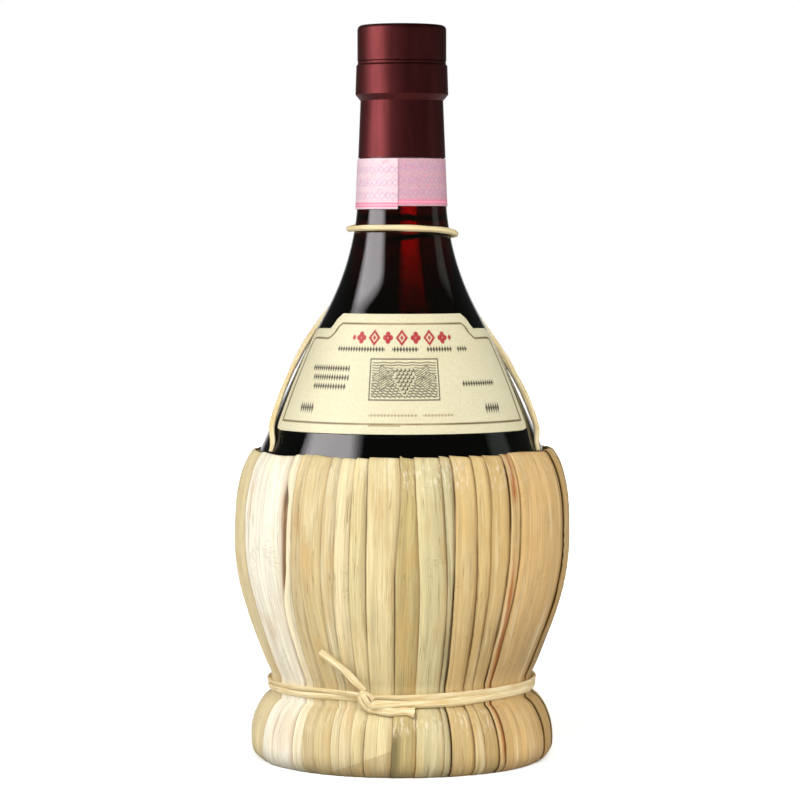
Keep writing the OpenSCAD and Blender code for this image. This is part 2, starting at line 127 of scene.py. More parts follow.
NECK_TOP = MOUTH_Z - 23.5


def outline(off, fine=3):
    """Outline of the glass moved outward by off, from the bottom to below the collar."""
    parts = [
        arc(HEEL_C, HEEL_R + off, -math.pi / 2, -LOWER_SWEEP, 7 * fine),
        arc(LOWER_C, LOWER_R + off, -LOWER_SWEEP, 0, 10 * fine),
        arc(UPPER_C, UPPER_R + off, 0, SHOULDER_IN, 6 * fine),
        arc(SHOULDER_C, SHOULDER_R + off, SHOULDER_IN, SHOULDER_OUT, 4 * fine),
        arc(NECK_C, -NECK_CURVE_R + off, SHOULDER_OUT, NECK_TAPER, 8 * fine)]
    top_r = NECK_R - math.tan(NECK_TAPER) * (NECK_TOP - NECK_END_Z) + off
    return np.vstack([parts[0]] + [p[1:] for p in parts[1:]] + [[[top_r, NECK_TOP]]])


GLASS = outline(0)


def glass_r(z, profile=GLASS):
    return np.interp(z, profile[:, 1], profile[:, 0])


# The strips' path from the table, over the belly and round the hoop
HOOP_R = FOLD_R - HUSK_DEPTH - HOOP_PLAY
HOOP_C = np.array([float(glass_r(HOOP_Z)) + HOOP_PLAY + HOOP_R, HOOP_Z])
RIM_END = HOOP_C + FOLD_R * ray(FOLD_START)
BELLY_R = FLASK_R + BELLY_PAD
WAIST_R = float(glass_r(WAIST_Z)) + WAIST_PAD
FOOT_R = WAIST_R + FOOT_FLARE
GROOVE = TIE_TURNS * TIE_PITCH / 2 + TIE_D / 2 + TIE_PLAY
GROOVE_TOP = WAIST_Z + GROOVE
GROOVE_FOOT = WAIST_Z - GROOVE


def basket_r(z):
    """Outside radius of the basket at a height, below the fold over the hoop."""
    foot = FOOT_R - FOOT_TUCK * np.clip((FOOT_Z - z) / FOOT_Z, 0, 1) ** 4
    flare_share = np.clip((GROOVE_FOOT - z) / (GROOVE_FOOT - FOOT_Z), 0, 1)
    flare = WAIST_R + FOOT_FLARE * np.sin(flare_share * math.pi / 2) ** 0.6
    belly_share = np.clip((z - GROOVE_TOP) / (WIDE_Z - GROOVE_TOP), 0, 1)
    belly = WAIST_R + (BELLY_R - WAIST_R) * np.sin(belly_share * math.pi / 2)
    rim = BELLY_R - (BELLY_R - RIM_END[0]) * np.clip((z - WIDE_Z) / (RIM_END[1] - WIDE_Z), 0, 1) ** 3.2
    return np.select([z < FOOT_Z, z < GROOVE_FOOT, z < WIDE_Z], [foot, flare, belly], rim)


def husk_path():
    """Points and outward normals along a strip, from the table to the inside of the fold."""
    z = np.concatenate([
        np.linspace(0, FOOT_Z, 9)[:-1],
        np.linspace(FOOT_Z, GROOVE_FOOT - 2.5, 9),
        np.linspace(GROOVE_FOOT - 1.8, GROOVE_FOOT + 0.2, 4),
        np.linspace(GROOVE_FOOT + 1.2, GROOVE_TOP, 6),
        np.linspace(GROOVE_TOP + 1, WIDE_Z, 58),
        np.linspace(WIDE_Z, RIM_END[1], 38)[1:]])
    fold = arc(HOOP_C, FOLD_R, FOLD_START, FOLD_END, 9)
    points = np.vstack([np.column_stack([basket_r(z), z]), fold[1:]])
    step = np.gradient(points, axis=0)
    normals = np.column_stack([step[:, 1], -step[:, 0]])
    normals /= np.linalg.norm(normals, axis=1)[:, None]
    normals[0] = (1, 0)
    return points, normals


def around(az, r, z):
    """A point at an angle from the front in degrees, a radius and a height in millimetres."""
    a = np.radians(az)
    return np.stack([r * np.sin(a), -r * np.cos(a), z + 0 * r], axis=-1)


# Smooth value noise that is the same on each run


def lattice(ix, iy, seed):
    h = np.sin(ix * 127.1 + iy * 311.7 + seed * 74.7) * 43758.5453
    return h - np.floor(h)


def smooth_noise(x, y, seed):
    """Value noise from 0 to 1."""
    ix, iy = np.floor(x), np.floor(y)
    fx, fy = ease(x - ix, 0, 1), ease(y - iy, 0, 1)
    rows = (lattice(ix, y0, seed) * (1 - fx) + lattice(ix + 1, y0, seed) * fx for y0 in (iy, iy + 1))
    low, high = rows
    return low * (1 - fy) + high * fy


def ease(x, low, high):
    t = np.clip((x - low) / (high - low), 0, 1)
    return t * t * (3 - 2 * t)


def between(x, rise, top, fall, end):
    """1 from top to fall, easing to 0 at rise and at end."""
    return ease(x, rise, top) * (1 - ease(x, fall, end))


# Mesh making

FLOW_R = 4


def add_object(name, data):
    obj = bpy.data.objects.new(name, data)
    bpy.context.scene.collection.objects.link(obj)
    return obj


def new_mesh(name, points, faces, smooth=None):
    """A mesh object from points in millimetres, with its first faces smooth, or all of them."""
    mesh = bpy.data.meshes.new(name)
    mesh.from_pydata((np.asarray(points, float) * MM).tolist(), [], faces)
    mesh.validate()
    count = len(faces) if smooth is None else smooth
    mesh.polygons.foreach_set("use_smooth", [k < count for k in range(len(mesh.polygons))])
    mesh.update()
    return add_object(name, mesh)


def point_values(obj, name, values):
    """Stores three numbers or a colour on each point."""
    kind, field = {3: ("FLOAT_VECTOR", "vector"), 4: ("FLOAT_COLOR", "color")}[values.shape[-1]]
    layer = obj.data.attributes.new(name, kind, "POINT")
    layer.data.foreach_set(field, values.astype(np.float32).ravel())


def lathe(name, profile, segments):
    """A body of revolution whose profile starts and ends on the axis, with one vertex at each end."""
    a = np.arange(segments) * 2 * math.pi / segments
    points, rings = [], []
    for r, z in profile:
        if r < 1e-6:
            rings.append([len(points)] * segments)
            points.append((0.0, 0.0, z))
            continue
        rings.append(list(range(len(points), len(points) + segments)))
        points.extend(zip(r * np.cos(a), r * np.sin(a), [z] * segments))
    faces = []
    for low, high in zip(rings, rings[1:]):
        for j in range(segments):
            n = (j + 1) % segments
            face = list(dict.fromkeys([low[j], low[n], high[n], high[j]]))
            if len(face) > 2:
                faces.append(face)
    return new_mesh(name, points, faces)


def sheet(name, outer, inner):
    """A thin closed sheet between two grids of points, smooth but for its rim."""
    rows, cols = outer.shape[:2]
    out = np.arange(rows * cols).reshape(rows, cols)
    back = out + rows * cols
    corners = [
        (out[:-1, :-1], out[:-1, 1:], out[1:, 1:], out[1:, :-1]),
        (back[:-1, :-1], back[1:, :-1], back[1:, 1:], back[:-1, 1:]),
        (out[:-1, 0], out[1:, 0], back[1:, 0], back[:-1, 0]),
        (out[:-1, -1], back[:-1, -1], back[1:, -1], out[1:, -1]),
        (out[0, :-1], back[0, :-1], back[0, 1:], out[0, 1:]),
        (out[-1, :-1], out[-1, 1:], back[-1, 1:], back[-1, :-1])]
    faces = np.vstack([np.stack(four, axis=-1).reshape(-1, 4) for four in corners]).tolist()
    points = np.stack([outer, inner]).reshape(-1, 3)
    return new_mesh(name, points, faces, smooth=2 * (rows - 1) * (cols - 1))


def length_along(path):
    return np.concatenate([[0], np.cumsum(np.linalg.norm(np.diff(path, axis=0), axis=1))])


def both_faces(values):
    """Point values of a sheet that are the same on its outer and its inner grid."""
    return np.stack([values, values])


def tube(name, rings):
    """A closed body between rings of points that turn counter-clockwise about the way they run."""
    rows, sides = rings.shape[:2]
    index = np.arange(rows * sides).reshape(rows, sides)
    nxt = np.roll(index, -1, axis=1)
    walls = np.stack([index[:-1], nxt[:-1], nxt[1:], index[1:]], axis=-1).reshape(-1, 4).tolist()
    caps = [index[0, ::-1].tolist(), index[-1].tolist()]
    return new_mesh(name, rings.reshape(-1, 3), walls + caps)


def sweep(name, path, sections):
    """A closed tube: sections[i] are the ring's offsets (outward, sideways) at path[i]."""
    heading = np.gradient(path, axis=0)
    heading /= np.linalg.norm(heading, axis=1)[:, None]
    side = np.cross(heading, path * (1, 1, 0))
    side /= np.linalg.norm(side, axis=1)[:, None]
    up = np.cross(side, heading)
    offsets = sections[:, :, :1] * up[:, None, :] + sections[:, :, 1:] * side[:, None, :]
    obj = tube(name, path[:, None, :] + offsets)
    turn = np.linspace(0, 2 * math.pi, sections.shape[1], endpoint=False)
    flow = np.zeros(offsets.shape)
    flow[:, :, 0] = np.sin(turn) * FLOW_R
    flow[:, :, 1] = length_along(path)[:, None]
    flow[:, :, 2] = np.cos(turn) * FLOW_R
    point_values(obj, "flow", flow)
    return obj


# Materials


class Graph:
    """Shader nodes of a material, or of the world, made from plain calls."""

    def __init__(self, name, world=False):
        owners = bpy.data.worlds if world else bpy.data.materials
        self.owner = owners.new(name)
        self.owner.use_nodes = True
        self.tree = self.owner.node_tree
        self.tree.nodes.clear()
        self.output = self.node("OutputWorld" if world else "OutputMaterial")

    def node(self, kind, inputs=None, **settings):
        n = self.tree.nodes.new("ShaderNode" + kind)
        for key, value in settings.items():
            setattr(n, key, value)
        for key, value in (inputs or {}).items():
            if isinstance(value, bpy.types.NodeSocket):
                self.tree.links.new(value, n.inputs[key])
            else:
                n.inputs[key].default_value = value
        return n

    def math(self, operation, a, b=0.0, clamp=False):
        return self.node("Math", {0: a, 1: b}, operation=operation, use_clamp=clamp).outputs[0]

    def times(self, a, b, clamp=False):
        return self.math("MULTIPLY", a, b, clamp)

    def where(self):
        return self.node("TexCoord").outputs["Object"]

    def attribute(self, name, output="Vector"):
        return self.node("Attribute", attribute_name=name).outputs[output]

    def channels(self, name):
        return self.node("SeparateColor", {0: self.attribute(name, "Color")}).outputs

    def noise(self, vector, stretch, detail=4.0, rough=0.55):
        """Noise from 0 to 1 over a vector that is first multiplied by stretch."""
        scaled = self.node("VectorMath", {0: vector, 1: stretch}, operation="MULTIPLY").outputs[0]
        inputs = {"Vector": scaled, "Scale": 1.0, "Detail": detail, "Roughness": rough}
        return self.node("TexNoise", inputs).outputs["Fac"]

    def range(self, value, low, high, to_low=0.0, to_high=1.0):
        inputs = {"Value": value, "From Min": low, "From Max": high, "To Min": to_low, "To Max": to_high}
        return self.node("MapRange", inputs).outputs[0]

    def line(self, noise, width):
        """Thin lines where a noise passes through its middle."""
        return self.range(self.math("ABSOLUTE", self.math("SUBTRACT", noise, 0.5)), 0.0, width, 1.0, 0.0)

    def mix(self, factor, a, b):
        return self.node("Mix", {0: factor, 6: a, 7: b}, data_type="RGBA").outputs[2]

    def shaded(self, colour, light):
        return self.node("VectorMath", {0: colour, 1: light}, operation="MULTIPLY").outputs[0]

    def bump(self, height, distance, strength):
        inputs = {"Height": height, "Distance": distance, "Strength": strength}
        return self.node("Bump", inputs).outputs[0]

    def surface(self, shader):
        self.tree.links.new(shader.outputs[0], self.output.inputs["Surface"])
        return self.owner

    def principled(self, **inputs):
        named = {key.replace("_", " "): value for key, value in inputs.items()}
        return self.surface(self.node("BsdfPrincipled", named))


def linear(hex_colour):
    """Linear RGB of a colour written as #rrggbb."""
    values = [int(hex_colour[i:i + 2], 16) / 255 for i in (1, 3, 5)]
    return tuple(v / 12.92 if v <= 0.04045 else ((v + 0.055) / 1.055) ** 2.4 for v in values)


def rgba(hex_colour):
    return (*linear(hex_colour), 1)


def husk_material(name, coarse=1.0):
    """Dry leaf: the strip's own tint, long fibres, thin broken veins, creases, gloss spots with a painted
    highlight, and painted shadows in the seams and under the fold.
    """
    g = Graph(name)
    flow = g.attribute("flow")
    gloss_and_highlight, left_seam_shadow, right_seam_shadow = g.channels("gloss_highlight_seam_shade")
    from_left, from_right, under_fold_shadow = g.node("SeparateXYZ", {0: g.attribute("seam")}).outputs
    bent = g.noise(flow, (0.12, 0.03, 1), 2.0)
    sway = g.node("CombineXYZ", {0: g.range(bent, 0, 1, -0.8, 0.8)}).outputs[0]
    shifted = g.node("VectorMath", {0: flow, 1: sway}, operation="ADD").outputs[0]
    hair = g.noise(shifted, (4.0 * coarse, 0.05, 1), 3.0, 0.7)
    fine = g.noise(shifted, (2.4 * coarse, 0.04, 1), 5.0, 0.65)
    broad = g.noise(shifted, (0.6 * coarse, 0.014, 1), 3.0)
    vein = g.line(g.noise(shifted, (1.15 * coarse, 0.022, 1), 2.0), 0.018)
    broken = g.range(g.noise(shifted, (0.5, 0.04, 1), 3.0), 0.47, 0.58)
    vein_cover = g.times(vein, broken, clamp=True)
    blotch = g.noise(flow, (0.13, 0.045, 1))
    pale = g.noise(flow, (0.3, 0.03, 1.3), 3.0)
    cross = g.line(g.noise(flow, (0.35, 1.1, 1), 3.0), 0.02)
    crease_zone = g.range(g.noise(flow, (0.08, 0.05, 1.7), 2.0), 0.6, 0.68)
    crease = g.times(cross, crease_zone, clamp=True)
    # Painted highlight: the gloss spots near the rim and the foot are painted paler, besides their lower
    # roughness.
    gloss_and_highlight_spot = g.times(g.range(g.noise(flow, (1.3, 0.35, 1)), 0.5, 0.66), gloss_and_highlight, clamp=True)
    # Painted shadow: dark lines at the strip's free left edge and at the next strip's edge, and a wider
    # painted shade beside that next strip.
    left_gap_shadow = g.times(g.range(from_left, 0.0, 0.28, 0.6, 0.0), left_seam_shadow)
    right_gap_shadow = g.times(g.range(from_right, 0.12, 0.5, 0.95, 0.0), right_seam_shadow)
    shade = g.times(g.range(from_right, 0.2, 2.4, 0.34, 0.0), right_seam_shadow)
    # Painted shadow below the fold line at the foot of a few front strips.
    fold = g.range(under_fold_shadow, 0.05, 0.4, 0.0, 0.36)
    colour = g.attribute("tint", "Color")
    for grain in (g.range(fine, 0.3, 0.7, 0.84, 1.1), g.range(hair, 0.32, 0.68, 0.86, 1.1),
                  g.range(broad, 0.3, 0.7, 0.87, 1.08)):
        colour = g.shaded(colour, grain)
    # Of these colours, the pale spots are a painted highlight, and the last two are painted shade and
    # painted shadow.
    for share, dye in ((g.range(blotch, 0.52, 0.75, 0.0, 0.5), "#c79d5c"),
                       (g.range(pale, 0.56, 0.72, 0.0, 0.45), "#f3e6bf"),
                       (g.times(vein_cover, 0.62), "#84602f"), (g.times(crease, 0.35), "#8d6a3b"),
                       (g.times(gloss_and_highlight_spot, 0.5), "#f1e8d2"), (g.math("MAXIMUM", fold, shade), "#8a6a3a"),
                       (g.math("MAXIMUM", left_gap_shadow, right_gap_shadow), "#3d2813")):
        colour = g.mix(share, colour, rgba(dye))
    height = g.math("ADD", g.times(fine, 0.6), g.times(broad, 0.7))
    height = g.math("ADD", height, g.times(hair, 0.25))
    height = g.math("SUBTRACT", height, g.times(vein_cover, 0.35))
    height = g.math("SUBTRACT", height, g.times(crease, 0.4))
    rough = g.math("SUBTRACT", g.range(broad, 0.3, 0.7, 0.48, 0.66), g.times(gloss_and_highlight_spot, 0.2))
    return g.principled(
        Base_Color=colour, Roughness=rough, Specular_IOR_Level=0.2, Normal=g.bump(height, 0.0004, 0.7))


def raffia_material():
    g = Graph("raffia")
    flow = g.attribute("flow")
    fine = g.noise(flow, (1.3, 0.12, 1.3))
    broad = g.noise(flow, (0.2, 0.06, 0.2), 2.0)
    colour = g.mix(g.range(fine, 0.35, 0.65), rgba("#d3b77c"), rgba("#f6eac4"))
    colour = g.mix(g.range(broad, 0.5, 0.75, 0.0, 0.5), colour, rgba("#d8bb7c"))
    return g.principled(
        Base_Color=colour, Roughness=0.5, Specular_IOR_Level=0.35, Normal=g.bump(fine, 0.0004, 0.6))


def clear_material(name, tint, density, ior, rough):
    """Glass or wine: clear at its surface and coloured by its depth."""
    g = Graph(name)
    volume = g.node("VolumeAbsorption", {"Color": (*tint, 1), "Density": density})
    g.tree.links.new(volume.outputs[0], g.output.inputs["Volume"])
    return g.principled(Base_Color=(1, 1, 1, 1), Roughness=rough, IOR=ior, Transmission_Weight=1.0)


def capsule_material():
    """Satin film with faint shrink wrinkles."""
    g = Graph("capsule_film")
    where = g.where()
    wrinkle = g.noise(where, (260, 260, 40), 3.0)
    grain = g.noise(where, (3200, 3200, 3200), 2.0)
    colour = g.mix(g.range(wrinkle, 0.35, 0.65), rgba("#4a1e1f"), rgba("#562526"))
    height = g.math("ADD", wrinkle, g.times(grain, 0.15))
    return g.principled(
        Base_Color=colour, Metallic=0.93, Roughness=g.range(grain, 0.3, 0.7, 0.4, 0.48),
        Specular_IOR_Level=0.4, Normal=g.bump(height, 0.0002, 0.3))


def cork_material():
    g = Graph("cork")
    where = g.where()
    cells = g.noise(where, (900, 900, 900), 3.0)
    pores = g.noise(where, (420, 420, 160))
    colour = g.mix(g.range(cells, 0.3, 0.7), rgba("#b98c57"), rgba("#dcb483"))
    colour = g.mix(g.range(pores, 0.62, 0.7), colour, rgba("#5f3c20"))
    return g.principled(Base_Color=colour, Roughness=0.8, Normal=g.bump(pores, 0.0004, 0.5))


def cane_material():
    g = Graph("cane")
    grain = g.noise(g.where(), (900, 900, 900), 3.0)
    colour = g.mix(grain, rgba("#a98149"), rgba("#cfa968"))
    return g.principled(Base_Color=colour, Roughness=0.5, Normal=g.bump(grain, 0.0002, 0.4))


def plain_husk_material():
    """Husk for the hidden layers, whose fibres run up and down."""
    g = Graph("inner_husk")
    fine = g.noise(g.where(), (1500, 1500, 60))
    colour = g.mix(g.range(fine, 0.3, 0.7), rgba("#8a6433"), rgba("#b78f55"))
    return g.principled(Base_Color=colour, Roughness=0.7, Normal=g.bump(fine, 0.0003, 0.5))


def label_material():
    """Cream paper under three inks, whose cover is a colour on each point: red, gold, dark."""
    g = Graph("label_paper")
    where = g.where()
    fibre = g.noise(where, (1400, 1400, 1400))
    cloud = g.noise(where, (60, 60, 60), 3.0)
    red, gold, dark = g.channels("ink")
    colour = g.mix(g.range(fibre, 0.3, 0.7), rgba("#cdc6a4"), rgba("#d8d2b4"))
    colour = g.mix(g.range(cloud, 0.45, 0.75, 0.0, 0.3), colour, rgba("#cbbf92"))
    worn = g.range(fibre, 0.25, 0.6, 0.84, 1.0)
    for ink, dye in ((gold, "#7f6530"), (red, "#a5182a"), (dark, "#3a3328")):
        colour = g.mix(g.times(ink, worn), colour, rgba(dye))
    return g.principled(
        Base_Color=colour, Roughness=0.5, Specular_IOR_Level=0.42, Normal=g.bump(fibre, 0.00012, 0.35))


def strip_paper_material(name, light, dark):
    """Flecked pink paper under three inks, whose cover is a colour on each point."""
    g = Graph(name)
    where = g.where()
    fibre = g.noise(where, (1600, 1600, 1600))
    fleck = g.noise(where, (700, 700, 700), 2.0)
    colour = g.mix(g.range(fibre, 0.3, 0.7), rgba(dark), rgba(light))
    colour = g.mix(g.range(fleck, 0.6, 0.66, 0.0, 0.4), colour, rgba("#dc8fa6"))
    for ink, dye in zip(g.channels("ink"), ("#dc7797", "#a982b4", "#fae6ea")):
        colour = g.mix(ink, colour, rgba(dye))
    return g.principled(
        Base_Color=colour, Roughness=0.55, Specular_IOR_Level=0.3, Normal=g.bump(fibre, 0.0001, 0.3))


def dress(obj, material):
    obj.data.materials.clear()
    obj.data.materials.append(material)


def place(obj, slot, material, *nodes):
    """Gives a new piece of the bottle its material, sets it on the bottle's body and hides the CAD nodes
    that it stands for; slot is not used.
    """
    dress(obj, material)
    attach(obj, "bottle")
    if nodes:
        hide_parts(*nodes)


# Camera, lights and stage, in metres and degrees but for the sheets, which are in millimetres

CAMERA_AT = (-0.0006, -1.05, 0.170)
CAMERA_PITCH = 2.95
FOCAL = 145.9
SENSOR = 36
LAMP_AIM_Z = 0.11
PANEL_AIM_Z = 0.15
FLOOR_HALF_MM = 3000
SQUARE = np.array([(-1, -1, 0), (1, -1, 0), (1, 1, 0), (-1, 1, 0)])


def camera():
    data = bpy.data.cameras.new("camera")
    data.lens = FOCAL
    data.sensor_width = SENSOR
    data.clip_end = 20
    obj = add_object("camera", data)
    obj.location = CAMERA_AT
    obj.rotation_euler = (math.radians(90 - CAMERA_PITCH), 0, 0)
    bpy.context.scene.camera = obj


def flat_sheet(name, scale, material):
    obj = new_mesh(name, SQUARE * scale, [[0, 1, 2, 3]], smooth=0)
    dress(obj, material)
    return obj


def stand(obj, az, distance, height, aim_z):
    """Puts a light at an angle from the front, turned towards the flask and unseen itself."""
    a = math.radians(az)
    obj.location = (distance * math.sin(a), -distance * math.cos(a), height)
    aim = Vector((0, 0, aim_z)) - obj.location
    obj.rotation_euler = aim.to_track_quat("-Z", "Y").to_euler()
    obj.visible_camera = False


def lamp(name, az, distance, height, size, watts, colour):
    """A soft box that lights matt surfaces and doesn't show in gloss or glass."""
    data = bpy.data.lights.new(name, "AREA")
    data.shape = "RECTANGLE"
    data.size, data.size_y = size
    data.energy = watts
    data.color = colour
    obj = add_object(name, data)
    stand(obj, az, distance, height, LAMP_AIM_Z)
    obj.visible_glossy = False
    obj.visible_transmission = False


def panel(name, az, distance, height, size_mm, strength, colour, through=False):
    """A bright sheet with soft edges that only gloss shows, or only clear glass and wine."""
    g = Graph(name)
    x, y, _ = g.node("SeparateXYZ", {0: g.attribute("share")}).outputs
    soft_x = g.range(g.math("ABSOLUTE", x), 0.55, 1.0, 1.0, 0.0)
    soft_y = g.range(g.math("ABSOLUTE", y), 0.7, 1.0, 1.0, 0.0)
    glow = g.times(g.times(soft_x, soft_y), strength)
    g.surface(g.node("Emission", {"Color": (*colour, 1), "Strength": glow}))
    obj = flat_sheet(name, np.array([*size_mm, 0]) / 2, g.owner)
    point_values(obj, "share", SQUARE)
    stand(obj, az, distance, height, PANEL_AIM_Z)
    obj.visible_diffuse = False
    obj.visible_shadow = False
    obj.visible_glossy = not through
    obj.visible_transmission = through


def lights():
    """Lamps light the matt surfaces; panels at the sides gleam in the glass, and one glows through it."""
    lamp("key", az=-60, distance=0.95, height=0.6, size=(0.6, 0.8), watts=4.9, colour=(1.0, 0.985, 0.97))
    lamp("front", az=4, distance=1.3, height=0.95, size=(1.2, 0.6), watts=17.5, colour=(1.0, 0.99, 0.965))
    lamp("right", az=78, distance=1.1, height=0.45, size=(0.6, 0.7), watts=3.2, colour=(1.0, 0.97, 0.93))
    panel("panel_left", az=-68, distance=0.9, height=0.42, size_mm=(980, 1000), strength=7.4,
          colour=(1.0, 0.96, 0.98))
    panel("panel_right", az=94, distance=0.9, height=0.3, size_mm=(420, 800), strength=0.5,
          colour=(0.9, 1.0, 0.9))
    panel("panel_back", az=-176.5, distance=0.16, height=0.13, size_mm=(27, 250), strength=23.0,
          colour=(1.0, 0.3, 0.18), through=True)


def world():
    """White to the camera; behind the flask it is white to glass too, and dim elsewhere."""
    g = Graph("studio", world=True)
    bpy.context.scene.world = g.owner
    path = g.node("LightPath").outputs
    y = g.node("SeparateXYZ", {0: g.node("TexCoord").outputs["Generated"]}).outputs[1]
    behind = g.range(y, 0.9, 0.99, 0.05, 1.0)
    mirrored = g.math("MAXIMUM", path["Is Glossy Ray"], path["Is Transmission Ray"])
    room = g.node("Background", {"Color": (1, 0.985, 0.965, 1), "Strength": 0.32}).outputs[0]
    shown = g.node("Background", {"Color": (1, 1, 1, 1), "Strength": behind}).outputs[0]
    seen = g.node("Background", {"Color": (1, 1, 1, 1), "Strength": 1.0}).outputs[0]
    around_flask = g.node("MixShader", {0: mirrored, 1: room, 2: shown}).outputs[0]
    g.surface(g.node("MixShader", {0: path["Is Camera Ray"], 1: around_flask, 2: seen}))


def floor():
    """Pale floor: lit paper with a little glow, stronger far off, so that only the shadow shows."""
    g = Graph("floor")
    path = g.node("LightPath").outputs
    seen = g.math("MAXIMUM", path["Is Camera Ray"], path["Is Transmission Ray"])
    far = g.node("VectorMath", {0: g.where()}, operation="LENGTH").outputs["Value"]
    strength = g.times(seen, g.range(far, 0.15, 0.8, 0.5, 1.0))
    glow = g.node("Emission", {"Color": (1, 1, 1, 1), "Strength": strength})
    paper = g.node("BsdfDiffuse", {"Color": (0.84, 0.84, 0.84, 1)})
    g.surface(g.node("AddShader", {0: glow.outputs[0], 1: paper.outputs[0]}))
    flat_sheet("floor", FLOOR_HALF_MM, g.owner)


# The flask, its wine and its papers

COLLAR_TOP = MOUTH_Z - 12.5
COLLAR_FOOT = COLLAR_TOP - 9
COLLAR_R = 14.7
FINISH_R = 13.95
BORE_R = 9.25
BORE_END = MOUTH_Z - 45.1
BORE_FLARE = 6
LIP_OUT_R = 1
LIP_IN_R = 0.8
WINE_LEVEL = MOUTH_Z - 54.7
MENISCUS = 1.2


def flask_glass():
    inner = outline(-WALL)
    flare_end = BORE_END - BORE_FLARE
    below = inner[inner[:, 1] < flare_end - 0.5]
    profile = np.vstack([
        [[0, BOTTOM_Z]], GLASS,
        [[COLLAR_R, COLLAR_FOOT], [COLLAR_R - 0.3, COLLAR_TOP], [FINISH_R, COLLAR_TOP + 0.6]],
        arc((FINISH_R - LIP_OUT_R, MOUTH_Z - LIP_OUT_R), LIP_OUT_R, 0, math.pi / 2, 6),
        arc((BORE_R + LIP_IN_R, MOUTH_Z - LIP_IN_R), LIP_IN_R, math.pi / 2, math.pi, 5),
        [[BORE_R, BORE_END], [glass_r(flare_end, inner), flare_end]],
        below[::-1], [[0, BOTTOM_Z + WALL]]])
    material = clear_material(
        "dark_green_glass", tint=(0.32, 0.52, 0.2), density=650.0, ior=1.52, rough=0.015)
    place(lathe("flask_glass", profile, 192), "glass", material, "flask")


def wine_body():
    inner = outline(0.1 - WALL)
    below = inner[inner[:, 1] < WINE_LEVEL - MENISCUS]
    r = glass_r(WINE_LEVEL, inner)
    meniscus = [[r, WINE_LEVEL - 0.2], [r - 0.15, WINE_LEVEL - 0.7], [r - 0.8, WINE_LEVEL - 1.1]]
    profile = np.vstack([[[0, BOTTOM_Z + WALL - 0.1]], below, meniscus, [[0, WINE_LEVEL - MENISCUS]]])
    material = clear_material("red_wine", tint=(0.86, 0.01, 0.02), density=800.0, ior=1.34, rough=0.0)
    place(lathe("wine_body", profile, 160), "wine", material, "wine")


LABEL_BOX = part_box("front_label")
LABEL_Z = LABEL_BOX[0].z / MM
LABEL_H = (LABEL_BOX[1].z - LABEL_BOX[0].z) / MM
LABEL_FOOT_AZ = 70.0
LABEL_TOP_AZ = 79.0
LABEL_CREST_AZ = 48.0
LABEL_NOTCH = LABEL_H - 4.8
LABEL_FLAT_R = 41.5
LABEL_COLS = 641
LABEL_ROWS = 211
CREST_SHARE = 0.62
KEYLINE_INSET = 3.1
PAPER_T = 0.25
GLUE = 0.05
FAR = 9.0

# Rows of marks on the label: from, to, middle height, height of a mark, seed of its gaps
GOLD_MARKS = (-11, 16.5, 5.8, 1.1, 2)
DARK_MARKS = [
    (-24, 24.5, LABEL_H - 11, 1.9, 0), (-34.5, -18, 20, 2.3, 0), (-33.5, -18, 17.2, 2.3, 2.3),
    (-32.5, -18, 14.4, 2.3, 4.6), (20.5, 34.5, 15.3, 2, 1), (-37, -27, 7.6, 3.6, 6),
    (28.5, 36.5, 7.6, 3.6, 6)]

# The picture's middle, half width and half height
PICTURE = (0.8, 16.8, 11.3, 6.3)


def label_edge():
    """Half outline of the label: angle from the front and height above its foot."""
    foot, top, crest, notch = LABEL_FOOT_AZ, LABEL_TOP_AZ, LABEL_CREST_AZ, LABEL_NOTCH
    side = [(foot + (top - foot) * t, 2.2 + (notch - 4.6) * t) for t in np.linspace(0.25, 1, 4)]
    return np.array([
        (foot - 6, 0), (foot - 1.5, 0.5), (foot, 2.2), *side, (top - 1, notch - 1.2),
        (top - 4.5, notch - 0.2), (top - 10, notch), (crest + 8, notch), (crest + 6.2, notch + 1),
        (crest + 4.5, LABEL_H - 1.8), (crest, LABEL_H)])


def label_flat(az, z):
    """Flat place of a label point: millimetres across from the middle, and height."""
    return np.radians(az) * LABEL_FLAT_R * (1 - 0.28 * z / LABEL_H), z


def polygon_distance(x, y, corners):
    """Signed distance to a closed polygon, negative inside."""
    px, py = corners.T
    best = np.full(x.shape, 1e9)
    inside = np.zeros(x.shape, bool)
    for i in range(len(px)):
        j = (i + 1) % len(px)
        ex, ey = px[j] - px[i], py[j] - py[i]
        wx, wy = x - px[i], y - py[i]
        t = np.clip((wx * ex + wy * ey) / (ex * ex + ey * ey), 0, 1)
        best = np.minimum(best, (wx - ex * t) ** 2 + (wy - ey * t) ** 2)
        crosses = (py[i] > y) != (py[j] > y)
        if abs(ey) > 1e-9:
            inside ^= crosses & (x < px[i] + (y - py[i]) * ex / ey)
    return np.where(inside, -1, 1) * np.sqrt(best)


def cover(distance, width=0.22):
    """Ink cover of a shape from its signed distance."""
    return np.clip(0.5 - distance / width, 0, 1)


def bar(x, z, x0, x1, z_mid, thick):
    dx = np.maximum(x0 - x, x - x1)
    return np.maximum(dx, np.abs(z - z_mid) - thick / 2)


def lozenge(x, z, cx, cz, half_w, half_h):
    return (np.abs(x - cx) / half_w + np.abs(z - cz) / half_h - 1) * min(half_w, half_h) * 0.8


def disc(x, z, cx, cz, r):
    return np.hypot(x - cx, z - cz) - r


